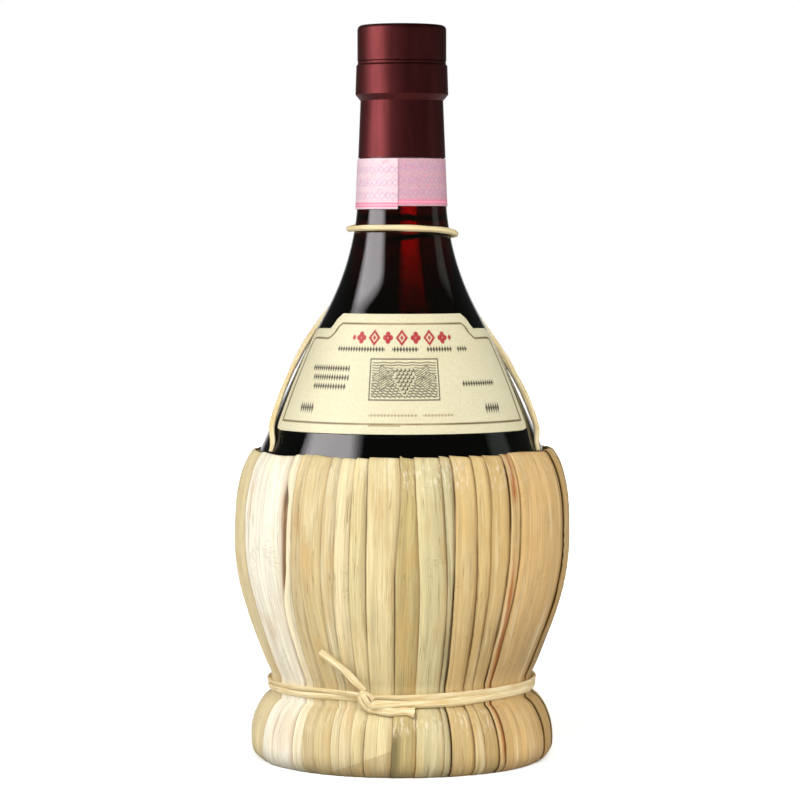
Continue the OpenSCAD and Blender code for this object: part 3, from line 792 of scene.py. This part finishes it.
def lozenge_row(x, z, cz):
    """A row of lozenges and quatrefoils."""
    shape = np.full(x.shape, FAR)
    for k in range(-3, 4):
        cx = k * 4.9
        if k % 2 == 0:
            ring = np.maximum(lozenge(x, z, cx, cz, 2.2, 2.6), -lozenge(x, z, cx, cz, 1.15, 1.45))
            shape = np.minimum(shape, np.minimum(ring, lozenge(x, z, cx, cz, 0.65, 0.85)))
        else:
            for dx, dz in ((0.95, 0), (-0.95, 0), (0, 1.05), (0, -1.05)):
                shape = np.minimum(shape, disc(x, z, cx + dx, cz + dz, 0.86))
    for side in (-1, 1):
        shape = np.minimum(shape, lozenge(x, z, side * 17.6, cz, 0.8, 1.0))
    return shape


def small_marks(x, z, x0, x1, z_mid, height, seed):
    """A broken line of tiny lozenges on a hairline."""
    pitch = 1.05
    place_in = (x - x0) % pitch - pitch / 2
    marks = np.minimum(lozenge(place_in, z, 0, z_mid, 0.5, height / 2), np.abs(z - z_mid) - 0.1)
    groups = smooth_noise((x - x0) / 2.4, seed, 83) > 0.27
    within = np.maximum(x0 - x, x - x1)
    return np.where(groups, np.maximum(marks, within), FAR)


def vignette(x, z, cx, cz, half_w, half_h):
    """A framed bunch of grapes between two leaves over a hatched ground."""
    from_frame = np.maximum(np.abs(x - cx) - half_w, np.abs(z - cz) - half_h)
    hatch = np.abs((z - cz + 0.12 * np.sin(x * 1.3)) % 0.8 - 0.4) - 0.15
    slant = np.abs((z - cz + 0.7 * x) % 1.1 - 0.55) - 0.17
    hatch = np.minimum(hatch, np.where(z < cz - 1, slant, FAR))
    grapes, dots, leaves, veins = (np.full(x.shape, FAR) for _ in range(4))
    for row, count in enumerate((5, 4, 5, 4, 3, 2, 1)):
        for k in range(count):
            gx = cx + (k - (count - 1) / 2) * 1.35
            gz = cz + 2.9 - row * 1.15
            grapes = np.minimum(grapes, disc(x, z, gx, gz, 0.72))
            shade = np.maximum(disc(x, z, gx, gz, 0.62), -disc(x, z, gx - 0.2, gz + 0.2, 0.34))
            dots = np.minimum(dots, shade)
    for side in (-1, 1):
        lx, lz = cx + side * 6.3, cz + 0.6
        angle = np.arctan2(z - lz, side * (x - lx))
        lobes = 3.0 + 0.75 * np.cos(5 * angle) + 0.3 * np.cos(angle)
        leaves = np.minimum(leaves, disc(x, z, lx, lz, lobes))
        for tilt in (-0.9, -0.3, 0.35, 1.0):
            across = np.abs((z - lz) - np.tan(tilt) * (x - lx)) * math.cos(tilt)
            veins = np.minimum(veins, np.maximum(across - 0.11, disc(x, z, lx, lz, 2.4)))
    ground = np.maximum(np.maximum(hatch, from_frame + 0.6), -np.minimum(grapes, leaves) + 0.25)
    leaf_hatch = np.maximum(np.abs((z - x * 0.6) % 0.7 - 0.35) - 0.15, leaves)
    leaf_line = np.minimum(np.abs(leaves) - 0.16, leaf_hatch)
    return np.minimum.reduce([np.abs(from_frame) - 0.2, ground, dots, leaf_line, veins])


def label_ink(x, z, depth):
    """Cover of the three inks: ornament, frame line, marks and picture, with painted shade on the frame
    line's sides.
    """
    steep = np.abs(np.gradient(depth, axis=1) / np.gradient(x, axis=1))
    side_share = ease(steep, 0.55, 0.9) * ease(np.abs(x), 18, 26)
    red = cover(lozenge_row(x, z, LABEL_H - 7.4))
    keyline = cover(np.abs(depth + KEYLINE_INSET) - 0.28 - 0.16 * side_share)
    gold = keyline * (0.72 + 0.28 * smooth_noise(x / 4, z / 4, 87))
    gold = np.maximum(gold, 0.6 * cover(small_marks(x, z, *GOLD_MARKS)))
    gold = np.maximum(gold, 0.8 * cover(bar(x, z, -10.5, -0.5, 2.6, 0.3)))
    drawn = [small_marks(x, z, *marks) for marks in DARK_MARKS] + [vignette(x, z, *PICTURE)]
    # Painted shade: the gold frame line darkens towards the label's sides.
    dark = np.maximum(0.55 * keyline * ease(np.abs(x), 6, 20), cover(np.minimum.reduce(drawn)))
    return np.stack([red, gold, dark, np.ones_like(red)], axis=-1)


def front_label():
    """The label on the glass. More of its columns lie under the crest than beside it."""
    edge = label_edge()
    z = np.linspace(0, LABEL_H, LABEL_ROWS)
    share = np.linspace(-1, 1, LABEL_COLS)
    half = np.interp(z, edge[:, 1], edge[:, 0])
    crest = np.minimum(half - 0.5, LABEL_CREST_AZ - 1)
    reach_in = np.minimum(np.abs(share) / CREST_SHARE, 1)
    reach_out = np.clip((np.abs(share) - CREST_SHARE) / (1 - CREST_SHARE), 0, 1)
    az = np.sign(share) * (reach_in * crest[:, None] + reach_out * (half - crest)[:, None])
    zz = z[:, None] + 0 * az
    world_z = LABEL_Z + zz
    grids = (around(az, glass_r(world_z) + GLUE + t, world_z) for t in (PAPER_T, 0))
    obj = sheet("front_label_paper", *grids)
    x, zf = label_flat(az, zz)
    corners = np.column_stack(label_flat(edge[:, 0], edge[:, 1]))
    corners = np.vstack([corners, corners[::-1] * (-1, 1)])
    ink = label_ink(x, zf, polygon_distance(x, zf, corners))
    point_values(obj, "ink", np.stack([ink, 0 * ink]))
    place(obj, "label_paper", label_material(), "front_label")


STRIP_TOP = MOUTH_Z - 42.3
STRIP_H = 15.2
STRIP_DROP = 1.0
STRIP_START_AZ = -110
BAND_END_AZ = 249.5
STRIP_END_AZ = -5
STRIP_STEP = 0.28
STRIP_ROWS = 61


def crossed(level, swing, half):
    """Distance to two curves that mirror each other about a level."""
    return np.minimum(np.abs(level - swing), np.abs(level + swing)) - half


def strip_print(arc_mm, height):
    """Cover of three inks: waves and a foot band, chains of crossed curves with beads, a pale line."""
    waves = np.zeros(arc_mm.shape)
    for k in range(6):
        swing = 1.15 * np.sin(arc_mm * 0.8 + k * 1.1)
        waves = np.maximum(waves, cover(crossed(height - 2.4 * k - 1.6, swing, 0.1), 0.28))
    lilac = np.zeros(arc_mm.shape)
    for k, row in enumerate((4.3, 8.4, 12.5)):
        swing = 0.95 * np.sin((arc_mm + 1.1 * k) * 2 * math.pi / 3.6)
        bead = disc((arc_mm + 1.1 * k - 0.9) % 1.8 - 0.9, height, 0, row, 0.3)
        chain = np.minimum(crossed(height - row, swing, 0.16), bead)
        lilac = np.maximum(lilac, cover(chain, 0.3))
    band = cover(np.abs(height - 1.35) - 0.75, 0.35)
    pale = cover(np.abs(height - 1.35) - 0.1, 0.25)
    pink = np.maximum(waves * 0.3, band * 0.9)
    return np.stack([pink, lilac * 0.6, pale * 0.5, np.ones_like(pink)], axis=-1)


def paper_band(name, end_az, drop, inner):
    """A curved band of paper on the neck, whose end lifts a little."""
    foot = STRIP_TOP - STRIP_H - drop
    cols = int(math.radians(end_az - STRIP_START_AZ) * NECK_R / STRIP_STEP) + 1
    columns = np.linspace(STRIP_START_AZ, end_az, cols)
    az, z = np.meshgrid(columns, np.linspace(foot, STRIP_TOP, STRIP_ROWS))
    lift = 0.12 * ease(az, end_az - 14, end_az)
    obj = sheet(name, *(around(az, glass_r(z) + inner + t + lift, z) for t in (PAPER_T, 0)))
    ink = strip_print(np.radians(az) * NECK_R, z - foot)
    point_values(obj, "ink", both_faces(ink))
    return obj


def neck_strip():
    """The band goes once round, and its end lies double on the left, up to the front. The band is a
    darker painted-shade copy of the pink paper, the end a lighter painted-light copy.
    """
    # Painted shade on the band's paper, painted light on the end's paper.
    shaded = strip_paper_material("strip_paper_band_painted_shade", "#c8a5af", "#b48c97")
    lit = strip_paper_material("strip_paper_end_painted_light", "#e2cbd2", "#d6bbc2")
    place(paper_band("neck_strip_band", BAND_END_AZ, 0, GLUE), "strip_paper", shaded, "neck_strip")
    over = GLUE + PAPER_T + 0.02
    place(paper_band("neck_strip_end", STRIP_END_AZ, STRIP_DROP, over), "strip_paper", lit)


# The basket

PALETTE = ["#e6d5a6", "#f7f0dc", "#eee2c0", "#cfbb8e", "#d2be8d", "#dccda2", "#e3d3a6", "#d9ca99",
           "#e0cf9e", "#c2ae78", "#d3c697", "#ccc095", "#d9be86", "#d3b880", "#cfb27a", "#dec18a",
           "#d9b67d", "#c5a267"]

# Strip edges that lean: from a height, to a height, by an angle
EDGE_LEANS = {2: (42, 74, 3.6), 3: (42, 74, 2.7), 9: (92, 62, -2.4), 12: (92, 40, -1.6)}


def edge_az(i, z):
    start = -90 + sum(STRIP_ANGLES[k % STRIP_COUNT] for k in range(i))
    if i in EDGE_LEANS:
        low, high, angle = EDGE_LEANS[i]
        start = start + angle * ease(z, low, high)
    return start + WANDER * np.sin(np.radians(z * WANDER_WAVE + (i % STRIP_COUNT) * WANDER_SHIFT))


def strip_tint(i):
    pick = i if i < len(PALETTE) else int(lattice(i, 3, 5) * len(PALETTE))
    return np.array(linear(PALETTE[pick]))


def settle(az, z):
    """How far the straw has settled inward, in soft patches and more on the left of the rim."""
    wave = smooth_noise((az + 360) % 360 / 22.5, z / 24, 4)
    soft = 0.5 * (1 - wave) * between(z, *LOOSE_ZONE)
    left = np.clip(-np.sin(np.radians(az)), 0, 1)
    back = np.clip(-np.cos(np.radians(az)), 0, 1)
    return soft + (left * (0.3 + 0.5 * ease(z, 66, 92)) + 0.45 * back) * ease(z, 34, 50)


LEAF_T = 0.26
MEAN_R = 50
COLS_A_DEGREE = 1.8
SEED_STEP = 3.7
SLIT_EDGE = 2
STREAK_STRIP = 15
GLOSS_AND_HIGHLIGHT_STRIPS = (9, 10, 11, 12, 14)
FOLD_SHADOW_STRIPS = (4, 5, 6, 7, 8)
FOLD_SHADOW_AZ = (-31.0, -3.0)
FOLD_SHADOW_RISE = 9.0
RECESS_SHADOW_STRIP = 9
DEEP_GAPS = (2, 8, 9, 12, 15, 17, 22, 25, 29, 33)

# Zones of height: from nothing, full, still full, to nothing
LOOSE_ZONE = (30, 42, 90, 97)
RIM_GLOSS_AND_HIGHLIGHT_ZONE = (88, 94, 98, 101)
FOOT_GLOSS_AND_HIGHLIGHT_ZONE = (12, 16, 19, 22)
SLIT_ZONE = (52, 66, 86, 94)
SLIT_STAIN_ZONE = (50, 60, 86, 93)
STREAK_GAP_ZONE = (62, 74, 84, 90)
LOW_SHADE_ZONE = (27, 33, 34, 62)


def gap_depth(i):
    """How open the gap at the left of a strip is, and how dark its painted shadow."""
    return 1.0 if i % STRIP_COUNT in DEEP_GAPS else 0.25 + 0.3 * lattice(i, 11, 2)


def nick(i, z):
    """How far a strip's free edge wavers, in degrees."""
    seed = (i % STRIP_COUNT) * SEED_STEP
    slow = 0.7 * (smooth_noise(z / 26 + seed, seed, 37) - 0.5)
    return (slow + 0.1 * (smooth_noise(z / 2.6, seed, 39) - 0.5)) * ease(z, 1, 6)


def creases(across_mm, z, seed):
    """Lengthwise folds: a zigzag across the strip whose folds wander a little."""
    bend = smooth_noise(z / 45, seed, 13)
    place_in = across_mm / 4.3 + seed * 1.9 + 0.6 * bend
    fold = np.abs((place_in % 1) - 0.5) * 2
    return 0.05 + 0.3 * fold * smooth_noise(across_mm / 9, seed, 19)


def ripples(across_mm, z, seed):
    """Short cross wrinkles in a few places."""
    zone = ease(smooth_noise(across_mm / 6 + seed, z / 14, 29), 0.62, 0.85)
    return 0.09 * zone * np.sin(z * 1.9 + across_mm * 0.8 + seed)


def husk_strip(i, path, normals, material):
    """One strip: it lies under its right neighbour, its left edge is free and lifts a little."""
    z = path[:, 1]
    left, right = edge_az(i, z), edge_az(i + 1, z)
    beyond = edge_az(i + 2, z)
    width = STRIP_ANGLES[i]
    share = np.linspace(0, 1, int(width * COLS_A_DEGREE) + 8)
    lap = HUSK_LAP * np.array([0.5, 1.0])
    seed = i * SEED_STEP
    az = np.hstack([left[:, None] + (right - left)[:, None] * share, right[:, None] + lap])
    step = LEAF_T + 0.06 + 0.25 * lattice(i, 7, 3)
    sink = step * np.hstack([share + 0 * z[:, None], 1 + lap / (beyond - right)[:, None]])
    zz = z[:, None] + 0 * az
    across = np.hstack([share, [1, 1]]) + 0 * az
    arc_mm = np.radians(az - left[:, None]) * MEAN_R
    seam = seam_distances(i, az, zz, arc_mm)
    az = az + nick(i, zz) * (1 - ease(across, 0, min(4 / width, 0.6)))
    free = 1 - ease(across, 0.6, 0.98)
    held = 1 - 0.9 * np.exp(-((zz - WAIST_Z) / 5.5) ** 2)
    lift_noise = smooth_noise(zz / 13 + seed, seed, 23)
    edge_lift = (0.04 + 0.6 * gap_depth(i) * ease(lift_noise, 0.5, 0.95)) * np.exp(-(arc_mm / 1.3) ** 2)
    rise = (creases(arc_mm, zz, seed) + ripples(arc_mm, zz, seed)) * free + edge_lift
    rise = rise * held * (1 - 0.75 * ease(zz, 97, 100)) * ease(zz, 0, 5)
    depth = sink - rise + settle(az, zz)
    if i == SLIT_EDGE:
        gap = 1.9 * between(zz, *SLIT_ZONE)
        az = az + gap * (1 - across) * ease(across, -0.2, 0.0)
    tops = 0.9 * (smooth_noise((az + 360) % 360 / 17, 0, 31) - 0.5) * ease(zz, 84, 100)
    sides = []
    for side in (0, LEAF_T):
        p = path[:, None, :] - (depth + side)[:, :, None] * normals[:, None, :]
        sides.append(around(az, p[:, :, 0], np.maximum(p[:, :, 1] + tops, 0)))
    obj = sheet(f"husk_{i + 1:02d}", *sides)
    along = length_along(path)[:, None] + 0 * zz
    flow = np.stack([arc_mm + 31 * i, along, 0 * zz + 7.3 * i], axis=-1)
    tint = strip_colours(i, az, zz, across, arc_mm)
    for key, values in {"flow": flow, "tint": tint, "gloss_highlight_seam_shade": strip_gloss_highlight_and_shade(i, zz), "seam": seam}.items():
        point_values(obj, key, both_faces(values))
    place(obj, "husk", material, f"strip_{i + 1:02d}")


def strip_gloss_highlight_and_shade(i, zz):
    """How strong the gloss and painted highlight of the strip's spots are, and how dark the painted
    shadows in its left and right seams.
    """
    near_fold = between(zz, *RIM_GLOSS_AND_HIGHLIGHT_ZONE) + between(zz, *FOOT_GLOSS_AND_HIGHLIGHT_ZONE)
    spots = near_fold * (1.0 if i in GLOSS_AND_HIGHLIGHT_STRIPS else 0.3)
    left, right = (seam_shadow_depth(k, zz) for k in (i, i + 1))
    return np.stack([spots, left, right, 0 * zz + 1], axis=-1)


def seam_shadow_depth(i, zz):
    """Darkness of the painted shadow in the seam at a strip's left edge: long open stretches in the deep
    ones.
    """
    k = i % STRIP_COUNT
    broken = ease(smooth_noise(zz / 16 + k * 1.7, k * 2.3, 43), 0.3, 0.6)
    return gap_depth(k) * (0.25 + 0.75 * broken)


def seam_distances(i, az, zz, arc_mm):
    """How far each point is from the strip's left edge, from the next strip and under the fold line:
    where the painted shadows fall.
    """
    from_right = np.radians(edge_az(i + 1, zz) + nick(i + 1, zz) - az) * MEAN_R
    fold_start, fold_end = FOLD_SHADOW_AZ
    fold_z = 0.5 + (az - fold_start) / (fold_end - fold_start) * FOLD_SHADOW_RISE
    fold = np.where(i in FOLD_SHADOW_STRIPS, fold_z - zz, 0)
    return np.stack([arc_mm, np.maximum(from_right, 0), fold], axis=-1)


def stained(base, share, dye):
    share = share[:, :, None]
    return base * (1 - share) + np.array(linear(dye)) * share


def strip_colours(i, az, zz, across, arc_mm):
    """Tint of a strip, with stains and the one red-brown streak, and painted shade: browner beside the
    next strip's edge, darker towards the table, in one recess and low on the right.
    """
    patch = smooth_noise(arc_mm / 5 + i * 2.1, zz / 30, 41)[:, :, None]
    base = strip_tint(i) * (0.9 + 0.16 * patch)
    # Painted shade: darker towards the table, and in the recess at one strip's left edge by the foot.
    foot = 0.38 * (1 - ease(zz, 0, 8))
    if i == RECESS_SHADOW_STRIP:
        foot = np.maximum(foot, 0.62 * (1 - ease(arc_mm, 0.8, 4.2)) * (1 - ease(zz, 11, 18)))
    # Painted shade low on the right side of the belly.
    low_right_shade = ease(np.sin(np.radians(az)), 0.1, 0.8) * between(zz, *LOW_SHADE_ZONE)
    base = base * (1 - np.maximum(foot, 0.22 * low_right_shade)[:, :, None])
    # Painted shade: browner towards the right edge, beside the next strip's lifted edge.
    base = stained(base, 0.4 * ease(across, 0.8, 1.0), "#a97b42")
    if i == STREAK_STRIP:
        centre = 2.2 + 0.5 * np.sin(zz / 17)
        there = ease(zz, 2, 8) - 0.85 * between(zz, *STREAK_GAP_ZONE)
        wide = 0.45 + 0.6 * smooth_noise(zz / 9, 3.0, 93)
        core = np.clip(np.exp(-((arc_mm - centre) / wide) ** 2) * there, 0, 1)
        wash = np.clip(np.exp(-((arc_mm - centre) / 2.0) ** 2) * there, 0, 1)
        base = stained(base, 0.4 * wash, "#c98a52")
        base = stained(base, 0.9 * core, "#b06026")
    if i == SLIT_EDGE - 1:
        beside_slit = ease(across, 0.92, 1.0) * between(zz, *SLIT_STAIN_ZONE)
        base = stained(base, 0.9 * beside_slit, "#7d5226")
    return np.concatenate([base, np.ones((*zz.shape, 1))], axis=-1)


def basket():
    path, normals = husk_path()
    material = husk_material("husk")
    for i in range(STRIP_COUNT):
        husk_strip(i, path, normals, material)


DISC_HOLE_R = 0.6
DISC_RINGS = 44
DISC_SIDES = 220


def base_disc():
    """Underside of the foot: husk ends laid round in a low spiral."""
    low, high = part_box("base_disc")
    radii = np.linspace(high.x / MM, DISC_HOLE_R, DISC_RINGS)
    angles = np.linspace(0, 360, DISC_SIDES, endpoint=False)
    r, a = np.meshgrid(radii, angles, indexing="ij")
    groove = 0.22 * (0.5 + 0.5 * np.cos(2 * math.pi * (r / 4.4 + a / 360)))
    strand = 0.08 * smooth_noise(a / 2.5, r / 3, 51)
    foot = around(a, r, np.clip(groove + strand - 0.06, 0, 1))
    head = around(a, r, (high.z - low.z) / MM)
    obj = tube("base_disc_husk", np.vstack([foot[::-1], head]))
    flow = np.stack([r, np.radians(a) * r, 0 * r], axis=-1)
    point_values(obj, "flow", np.vstack([flow[::-1], flow]))
    tint = np.ones((2 * r.size, 1)) * rgba("#cbab6c")
    point_values(obj, "tint", tint)
    point_values(obj, "gloss_highlight_seam_shade", tint * (0, 0, 0, 1))
    place(obj, "husk", husk_material("base_husk", 0.6), "base_disc")


# Cords

# The carrying cord's route: angle from the front, height, and gap to the glass
CORD_ROUTE = [
    (-65, 101.6, 0), (-66, 104.5, 0), (-73, 109, 0), (-80, 117, 0), (-89, 127, 0), (-103, 138, 0),
    (-123, 150, 0), (-149, 161, 0), (-180, 166.5, 0), (-225, 168.8, 0), (-270, 169.8, 0), (-315, 171, 0),
    (-360, 171.6, 0), (-405, 171.6, 0), (-450, 171.3, 0), (-495, 172.4, 0), (-535, 174, 1),
    (-560, 172, 3.2), (-580, 165.5, 3.4), (-592, 156, 1.8), (-600, 146, 0.6), (-609, 137, 0.2),
    (-621, 127, 0.2), (-632, 117, 0.3), (-641, 108, 0.2), (-647, 104.5, 0), (-649, 101.6, 0)]


def smooth_route(route, steps):
    """Points along a smooth curve through the route's own points."""
    route = np.asarray(route, float)
    padded = np.vstack([route[:1], route, route[-1:]])
    t = np.linspace(0, 1, steps, endpoint=False)[:, None]
    out = []
    for i in range(len(route) - 1):
        a, b, c, d = padded[i:i + 4]
        out.append(b + 0.5 * t * (c - a + t * (2 * a - 5 * b + 4 * c - d + t * (3 * (b - c) + d - a))))
    return np.vstack([*out, route[-1:]])


def raffia_sections(rings, width, thick, sides, twist, seed):
    """Cross-sections of a folded, loosely twisted raffia leaf: flat, grooved and uneven."""
    s = np.arange(rings)[:, None] / 6.0
    a = np.linspace(0, 2 * math.pi, sides, endpoint=False)[None, :]
    groove = 1 - 0.16 * np.exp(-((np.sin(a - 0.9) - 0.2) / 0.22) ** 2)
    groove = groove - 0.12 * np.exp(-((np.sin(a + 1.7) - 0.3) / 0.2) ** 2)
    uneven = 0.9 + 0.2 * smooth_noise(s * 0.8 + 0 * a, seed, 61)
    lumps = 0.95 + 0.1 * smooth_noise(s * 2.2 + 0 * a, a * 2.2 + seed, 67)
    u = np.cos(a) * thick / 2 * groove * uneven * lumps
    v = np.sin(a) * width / 2 * groove * uneven * lumps
    turn = twist * s + 0.5 * (smooth_noise(s * 0.5, seed + 2, 71) - 0.5)
    return np.stack([u * np.cos(turn) - v * np.sin(turn), u * np.sin(turn) + v * np.cos(turn)], axis=-1)


def carrying_cord():
    route = smooth_route(CORD_ROUTE, 14)
    r = glass_r(route[:, 1]) + CORD_PLAY + CORD_D / 2 + np.maximum(route[:, 2], 0)
    tuck = ease(108 - route[:, 1], 0, 6.5)
    path = around(route[:, 0], r - 0.5 * tuck, route[:, 1] - 1.2 * tuck)
    sections = raffia_sections(len(path), CORD_D * 1.04, CORD_D * 0.8, 24, 0.05, 1.0)
    sections *= (1 - 0.3 * tuck)[:, None, None]
    return sweep("carrying_cord", path, sections)


TIE_STEPS = 24
TIE_R = (WAIST_R + TIE_PLAY + TIE_D / 2) / math.cos(math.pi / TIE_STEPS)
KNOT_R = TIE_R + TIE_D / 2 + TIE_PLAY + KNOT_D / 2
KNOT_HALF = math.degrees(math.asin((KNOT_D / 2 + 0.15) / KNOT_R))
LIFT_SHARE = 0.035
TIE_TILT = 0.8
TIE_CLOSE = 0.84
TIE_CROSS = 0.4
TIE_PRESS = 1.1


def waist_tie():
    t = np.linspace(0, 1, 420)
    e = np.minimum(t, 1 - t)
    lift = np.where(e > LIFT_SHARE, 0, (1 - e / LIFT_SHARE) ** 2)
    az = KNOT_AZ + KNOT_HALF + t * (360 * TIE_TURNS - 2 * KNOT_HALF)
    r = TIE_R + (KNOT_R - TIE_R) * lift
    tilt = TIE_TILT * np.sin(np.radians(az - KNOT_AZ))
    waver = 0.3 * (smooth_noise(t * 23, 1, 91) - 0.5)
    waver += TIE_CROSS * np.sign(0.5 - t) * np.sin(np.radians(az - KNOT_AZ) / 2) ** 2
    z = WAIST_Z + tilt + waver + TIE_CLOSE * TIE_PITCH * TIE_TURNS * (t - 0.5) * (1 - 0.3 * lift)
    path = around(az, r - TIE_PRESS * (1 - lift), z)
    sections = raffia_sections(len(path), TIE_D * 1.5, TIE_D * 0.62, 20, 0.012, 5.0)
    return sweep("waist_raffia", path, sections)


# Points along the knot's leaf, in millimetres: across, up and outward
KNOT_CURL = [
    (-1.5, 2.6, 0.3), (-0.4, 0.9, 1.3), (0.9, -0.9, 1.3), (1.7, -2.2, 0.3), (0.6, -2.6, -0.7),
    (-0.9, -1.2, -0.3), (-1.7, 0.6, 0.4), (-0.6, 1.9, 0.9), (1.0, 1.5, 0.9), (1.9, 0.1, 0.1)]


def tie_knot():
    """A flat leaf that crosses over the two turns and curls back through itself."""
    curl = smooth_route(KNOT_CURL, 10)
    across = np.degrees(curl[:, 0] / KNOT_R)
    path = around(KNOT_AZ + across, KNOT_R - 0.4 + 0.75 * curl[:, 2], WAIST_Z + curl[:, 1])
    return sweep("knot_raffia", path, raffia_sections(len(path), 1.9, 0.9, 16, 0.03, 9.0))


# Points along the free ends, from the knot: degrees round, up and outward
TAIL_UP = [(-1, 2.6, 1.9), (-4, 5, 1.6), (-8, 8.5, 1), (-13, 12, 0.8), (-17, 15, 1.2)]
TAIL_SIDE = [(0.6, -2.9, 3), (5, -3.5, 1.7), (10, -3.8, 0.9), (15, -3.6, 0.9), (19, -3.9, 1.3)]
TAIL_D = 1.5


def tail(name, route, width, seed):
    """A free end: a flat leaf that spreads towards its cut tip."""
    route = smooth_route(route, 16)
    z = WAIST_Z + route[:, 1]
    path = around(KNOT_AZ + route[:, 0], basket_r(z) + TIE_PLAY + TAIL_D / 2 + route[:, 2], z)
    sections = raffia_sections(len(path), TAIL_D * 1.4, TAIL_D * 0.5, 16, 0.02, seed)
    sections[:, :, 1] *= np.linspace(1, width, len(path))[:, None]
    return sweep(name, path, sections)


def cords():
    material = raffia_material()
    made = {"carry_cord": carrying_cord(), "waist_tie": waist_tie(), "tie_knot": tie_knot(),
            "tie_tail_up": tail("tail_up_raffia", TAIL_UP, 1.35, 13.0),
            "tie_tail_side": tail("tail_side_raffia", TAIL_SIDE, 1.6, 17.0)}
    for node, obj in made.items():
        place(obj, "raffia", material, node)


def carried_over():
    """CAD nodes that stay, with their materials."""
    film, inner = capsule_material(), plain_husk_material()
    finishes = {"capsule_top": film, "capsule_disc": film, "capsule_skirt": film, "cork": cork_material(),
                "rim_hoop": cane_material(), "basket_lining": inner, "base_ring": inner}
    for name, material in finishes.items():
        dress(frame["nodes"][name], material)


camera()
lights()
world()
floor()
flask_glass()
wine_body()
front_label()
neck_strip()
basket()
base_disc()
cords()
carried_over()
